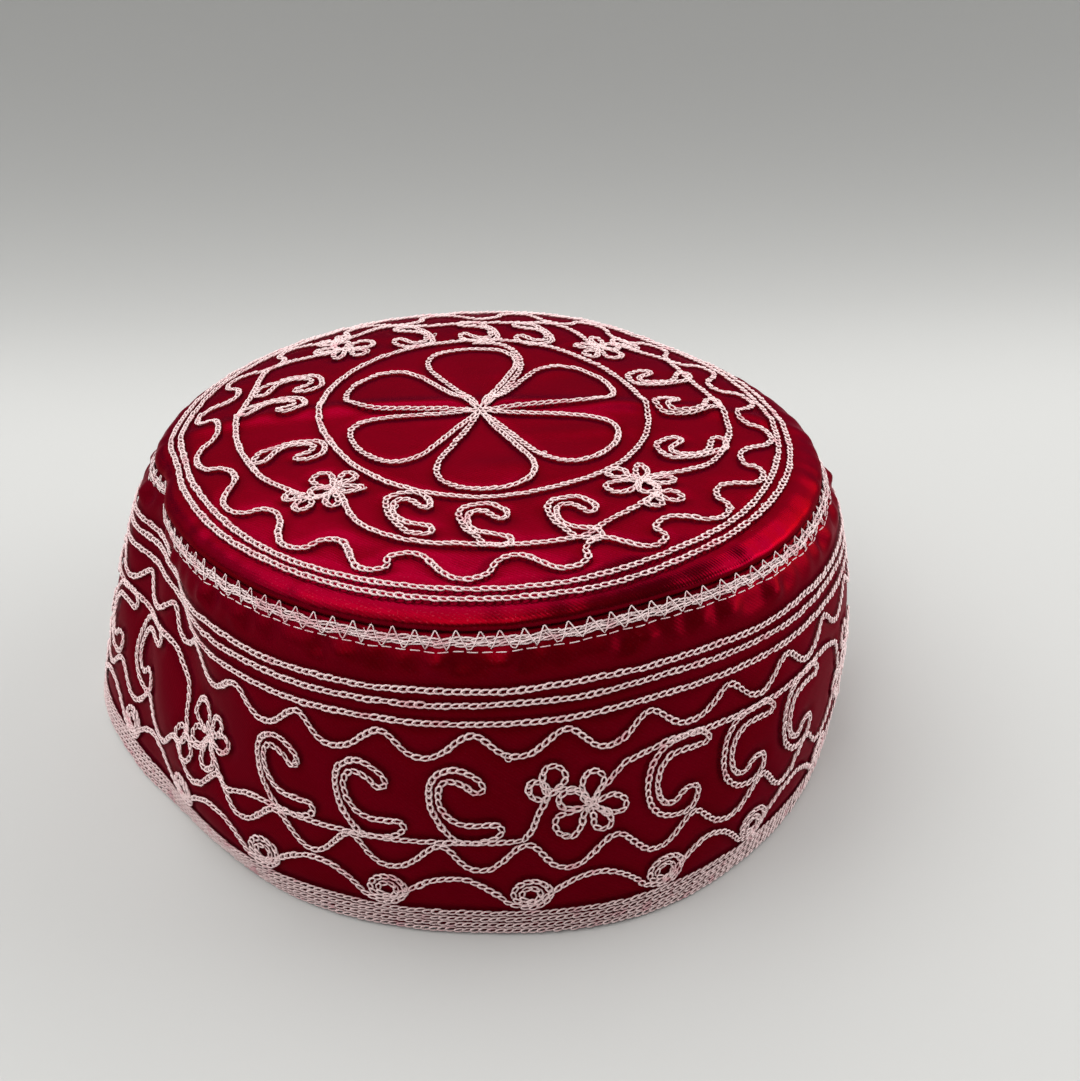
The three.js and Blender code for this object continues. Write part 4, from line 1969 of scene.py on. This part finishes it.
@dataclass(frozen=True)
class PhotoCamera:
    """The camera as fitted to the photograph: its place in millimetres and its turns in radians."""

    place: Triple = (5.6873, -338.6899, 243.3116)
    focal_share: float = 1600 / 1080
    pitch: float = 0.5405
    yaw: float = 0.0437
    roll: float = 0.0108
    sensor: float = 36.0

    def build(self, placing: Placing) -> Object:
        """Makes the camera and the scene look through it.

        Args:
            placing: What puts its place into the frame.

        Returns:
            The camera.
        """
        data = bpy.data.cameras.new("photo_camera")
        data.sensor_fit = "HORIZONTAL"
        data.sensor_width = self.sensor
        data.lens = self.focal_share * self.sensor
        data.clip_start, data.clip_end = 0.01, 20
        made = place_in_scene("photo_camera", data)
        sin, cos = math.sin, math.cos
        ahead = Vector((sin(self.yaw) * cos(self.pitch), cos(self.yaw) * cos(self.pitch), -sin(self.pitch)))
        right = Vector((cos(self.yaw), -sin(self.yaw), 0))
        down = ahead.cross(right)
        across = cos(self.roll) * right + sin(self.roll) * down
        below = -sin(self.roll) * right + cos(self.roll) * down
        turn = Matrix((across, -below, -ahead)).transposed().to_4x4()
        spot = placing.metres(np.array([self.place]))[0]
        made.matrix_world = Matrix.Translation(Vector(spot)) @ turn
        bpy.context.scene.camera = made
        return made


@dataclass(frozen=True)
class Panel:
    """One soft light: a rectangle's sides, where it hangs and looks to, in metres, and its watts.

    Shine is how much of it shows in what is glossy.
    """

    name: str
    size: Pair
    place: Triple
    power: float
    shine: float = 1.0
    aim: Triple = (0.0, 0.0, 0.06)


@dataclass(frozen=True)
class Studio:
    """A pale floor that sweeps up behind the cap, and plain soft light. Sizes are in metres.

    The paper is painted darker behind the cap, as painted shade: the span is how far behind the middle it
    starts to darken and where it reaches its darkest share.
    """

    paper: Colour = (0.568, 0.568, 0.552)
    unevenness: float = 0.97
    # Painted shade: how dark the far end of the paper is painted, and over what span behind the middle.
    far_painted_shade: float = 0.56
    painted_shade_span: Pair = (0.132, 0.357)
    sweep_from: float = 0.22
    sweep_radius: float = 0.16
    half_width: float = 1.6
    front: float = -1.4
    world: float = 0.03
    panels: tuple[Panel, ...] = (
        Panel("overhead_panel", (1.5, 1.55), (-0.65, 0.28, 1.3), 14.2, aim=(-0.65, 0.28, 0.0)),
        Panel("high_back_panel", (2.0, 0.6), (0.0, 1.0, 1.2), 3.4),
        Panel("low_back_panel", (1.8, 0.7), (0.0, 1.0, 0.62), 3.2),
        Panel("window_panel", (1.6, 1.2), (-0.75, -0.5, 0.9), 7.1),
        Panel("left_panel", (0.9, 0.8), (-1.05, 0.35, 0.55), 1.5),
        Panel("front_panel", (0.7, 0.7), (-0.15, -0.85, 0.95), 3.9),
        Panel("right_panel", (1.1, 0.75), (0.95, 0.33, 0.6), 7.7, 0.15),
        Panel("low_right_panel", (1.2, 0.4), (1.1, 0.1, 0.22), 6.2, 0.15),
    )

    def paper_material(self) -> Material:
        """Matt paper, painted darker towards its far end as painted shade, and seen from its face alone.

        Returns:
            The material.
        """
        made, wiring = new_material("studio_paper")
        place = wiring.add("ShaderNodeTexCoord").outputs["Object"]
        shade = tuple(self.unevenness * part for part in self.paper)
        colour = wiring.blend(wiring.noise(place, 5.0, 2.0), (*self.paper, 1), (*shade, 1))
        # Painted shade: the paper darkens smoothly towards its far end.
        back = wiring.add("ShaderNodeSeparateXYZ", {0: place}).outputs[1]
        dark = tuple(self.far_painted_shade * part for part in self.paper)
        near, far = self.painted_shade_span
        fade = wiring.add("ShaderNodeMapRange", {0: back, 1: near, 2: far}, interpolation_type="SMOOTHSTEP")
        colour = wiring.blend(fade.outputs[0], colour, (*dark, 1))
        sockets = {"Base Color": colour, "Roughness": 0.9, "Specular IOR Level": 0.2}
        shader = wiring.add("ShaderNodeBsdfPrincipled", sockets)
        behind = wiring.add("ShaderNodeNewGeometry").outputs["Backfacing"]
        clear = wiring.add("ShaderNodeBsdfTransparent").outputs[0]
        sheet = wiring.add("ShaderNodeMixShader", {0: behind, 1: shader.outputs[0], 2: clear}).outputs[0]
        wiring.add("ShaderNodeOutputMaterial", {"Surface": sheet})
        return made

    def backdrop(self) -> Object:
        """The floor and a quarter circle behind it, as one sheet of paper.

        Returns:
            The backdrop, marked as no part of the object.
        """
        turn = np.linspace(0, math.pi / 2, 25)
        back = self.sweep_from + self.sweep_radius * np.sin(turn)
        arc = stack(back, self.sweep_radius * (1 - np.cos(turn)))
        profile = np.concatenate([rows((self.front, 0)), arc])
        sides = np.array([-self.half_width, self.half_width])
        points = np.array([[(x, y, z) for x in sides] for y, z in profile]).reshape(-1, 3)
        faces = grid_faces(len(profile), 2, False, False)[:, ::-1]
        mesh = bpy.data.meshes.new("studio_backdrop")
        mesh.from_pydata(points.tolist(), [], faces.tolist())
        mesh.polygons.foreach_set("use_smooth", np.ones(len(faces), bool))
        mesh.materials.append(self.paper_material())
        made = place_in_scene("studio_backdrop", mesh)
        made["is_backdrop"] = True
        return made

    def lights(self) -> None:
        """Soft panels that look at the cap or straight down beside it, and an even grey all round."""
        for panel in self.panels:
            data = bpy.data.lights.new(panel.name, "AREA")
            data.shape = "RECTANGLE"
            data.size, data.size_y = panel.size
            data.energy = panel.power
            data.specular_factor = panel.shine
            made = place_in_scene(panel.name, data)
            made.location = panel.place
            towards = Vector(panel.aim) - Vector(panel.place)
            made.rotation_euler = towards.to_track_quat("-Z", "Y").to_euler()
        world = bpy.data.worlds.new("studio_grey")
        world.use_nodes = True
        world.node_tree.nodes["Background"].inputs[0].default_value = (0.98, 1.0, 1.0, 1)
        world.node_tree.nodes["Background"].inputs[1].default_value = self.world
        bpy.context.scene.world = world
        bpy.context.scene.view_settings.view_transform = "Standard"


@dataclass
class Cap:
    """The whole cap: its two cloths and everything that is stitched on them."""

    placing: Placing
    form: CapForm
    crown_satin: Material
    band_satin: Material
    satin_back: Material
    thread: Material
    hem_thread: Material
    seam_thread: Material

    def __post_init__(self) -> None:
        """Lays out the charts and the patterns."""
        self.band_chart = BandChart(self.form)
        self.crown_chart = CrownChart(self.form)
        self.band_work = BandEmbroidery(self.band_chart)
        self.crown_work = CrownEmbroidery(self.crown_chart)

    def finish(self, piece: Object, slot: str, *nodes: str) -> Object:
        """Fixes a piece to the frame and reports it.

        Args:
            piece: The piece.
            slot: The record's material slot; it is not used.
            nodes: The solids that it stands for.

        Returns:
            The same piece.
        """
        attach(piece, "root")
        if nodes:
            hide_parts(*nodes)
        triangles = sum(len(face.vertices) - 2 for face in piece.data.polygons)
        log.info("%s: %d triangles", piece.name, triangles)
        return piece

    def chains(
        self, groups: dict[str, list[Path]], chart: BandChart | CrownChart, seed: int
    ) -> dict[str, Object]:
        """Sews each group of paths as one piece.

        Args:
            groups: Paths by the piece's name.
            chart: What lays them on the cloth.
            seed: Sets how the loops differ.

        Returns:
            The pieces by name.
        """
        made = {}
        for name, paths in groups.items():
            parts = MeshParts()
            for number, path in enumerate(paths):
                ChainStitch().sew(parts, chart, path, seed + number)
            thread = self.hem_thread if name == "hem_rows" else self.thread
            made[name] = parts.build(name, self.placing, [thread])
            seed += 1000
        return made

    def marks(self, groups: dict[str, list[Path]], chart: BandChart | CrownChart) -> Array:
        """Points along all the stitching of a cloth, which draw it in."""
        flats = [path.flat for paths in groups.values() for path in paths]
        return np.concatenate([chart.point(ChainStitch.resample(flat, chart, 0.9)) for flat in flats])

    def build(self) -> None:
        """Builds every piece, from the cloths out to the loose ends of thread."""
        band_groups, crown_groups = self.band_work.groups(), self.crown_work.groups()
        band_quilt = Quilting(self.marks(band_groups, self.band_chart))
        band_cloth = BandCloth(self.form, self.band_chart, band_quilt)
        band = band_cloth.mesh(self.placing, [self.band_satin, self.satin_back])
        crown_quilt = Quilting(self.marks(crown_groups, self.crown_chart))
        crown_cloth = CrownCloth(self.form, self.crown_chart, crown_quilt)
        crown = crown_cloth.mesh(self.placing, [self.crown_satin, self.satin_back])
        self.finish(band, "red_satin", "side_band")
        self.finish(crown, "red_satin", "crown_panel")
        band_pieces = self.chains(band_groups, self.band_chart, 100)
        crown_pieces = self.chains(crown_groups, self.crown_chart, 20000)
        for name, piece in {**band_pieces, **crown_pieces}.items():
            self.finish(piece, "white_thread", *(["hem_stitching"] if name == "hem_rows" else []))
        seam = SeamStitching(SeamChart(self.form), self.band_chart)
        seam_parts, running_parts, loose_parts = MeshParts(), MeshParts(), MeshParts()
        seam.overcast(seam_parts)
        seam.zigzags(seam_parts)
        seam.running(running_parts)
        overcast = seam_parts.build("seam_overcast", self.placing, [self.seam_thread])
        self.finish(overcast, "white_thread", "crown_seam_stitching")
        running = running_parts.build("running_stitch", self.placing, [self.seam_thread])
        self.finish(running, "white_thread")
        ends = LooseEnds()
        ends.curl(loose_parts, self.crown_chart, crown_groups)
        ends.curl(loose_parts, self.band_chart, band_groups)
        loose = loose_parts.build("loose_ends", self.placing, [self.seam_thread])
        self.finish(loose, "white_thread")


def main() -> None:
    """Builds the camera, the cap on its frame and the studio."""
    logging.basicConfig(level=logging.INFO, format="%(name)s: %(message)s")
    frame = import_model()
    solid_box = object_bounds()
    log.info("solids: %s", ", ".join(sorted(frame["nodes"])))
    placing = Placing()
    PhotoCamera().build(placing)
    studio = Studio()
    studio.backdrop()
    studio.lights()
    groups = SharedGroups.build()
    crown_satin = SatinFinish(
        "red_satin_crown",
        deep=(0.174, 0.0001, 0.004),
        bright=(0.248, 0.0003, 0.0067),
        edge_sheen=(0.214, 0.0002, 0.034),
        roughness=0.26,
        metallic=0.8,
        rib_height=0.02,
        glint_specks=0.06,
    )
    # The band's satin is a darker copy of the crown's: its lower base colour is painted shade on the upright
    # band.
    band_satin = SatinFinish(
        "red_satin_band_painted_shade",
        deep=(0.103, 0.0, 0.0018),
        bright=(0.158, 0.0002, 0.0055),
        roughness=0.32,
        metallic=0.45,
        rib_height=0.014,
    )
    back = SatinFinish(
        "red_satin_back",
        deep=(0.15, 0.001, 0.004),
        bright=(0.22, 0.002, 0.008),
        roughness=0.6,
        metallic=0.0,
        rib_height=0.03,
        specular=0.2,
        sheen=0.05,
    )
    # The threads' pinkish white is partly their own colour and partly painted red bounce light from the
    # satin.
    thread = ThreadFinish("white_thread_chain", (1.0, 0.76, 0.75), (0.86, 0.42, 0.46), 0.56)
    # The hem's thread is a darker copy of the white thread: painted shade low on the band.
    hem_thread = ThreadFinish("white_thread_hem_painted_shade", (0.84, 0.63, 0.62), (0.68, 0.34, 0.37), 0.54)
    seam_thread = ThreadFinish("white_thread_seam", (1.0, 0.80, 0.79), (0.84, 0.46, 0.49), 0.5)
    cap = Cap(
        placing,
        CapForm(),
        crown_satin.material(groups),
        band_satin.material(groups),
        back.material(groups),
        thread.material(groups),
        hem_thread.material(groups),
        seam_thread.material(groups),
    )
    cap.build()
    boxes = {"cad": solid_box, "visual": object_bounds()}
    {name: [list(corner) for corner in box] for name, box in boxes.items()}


if __name__ == "__main__":
    main()
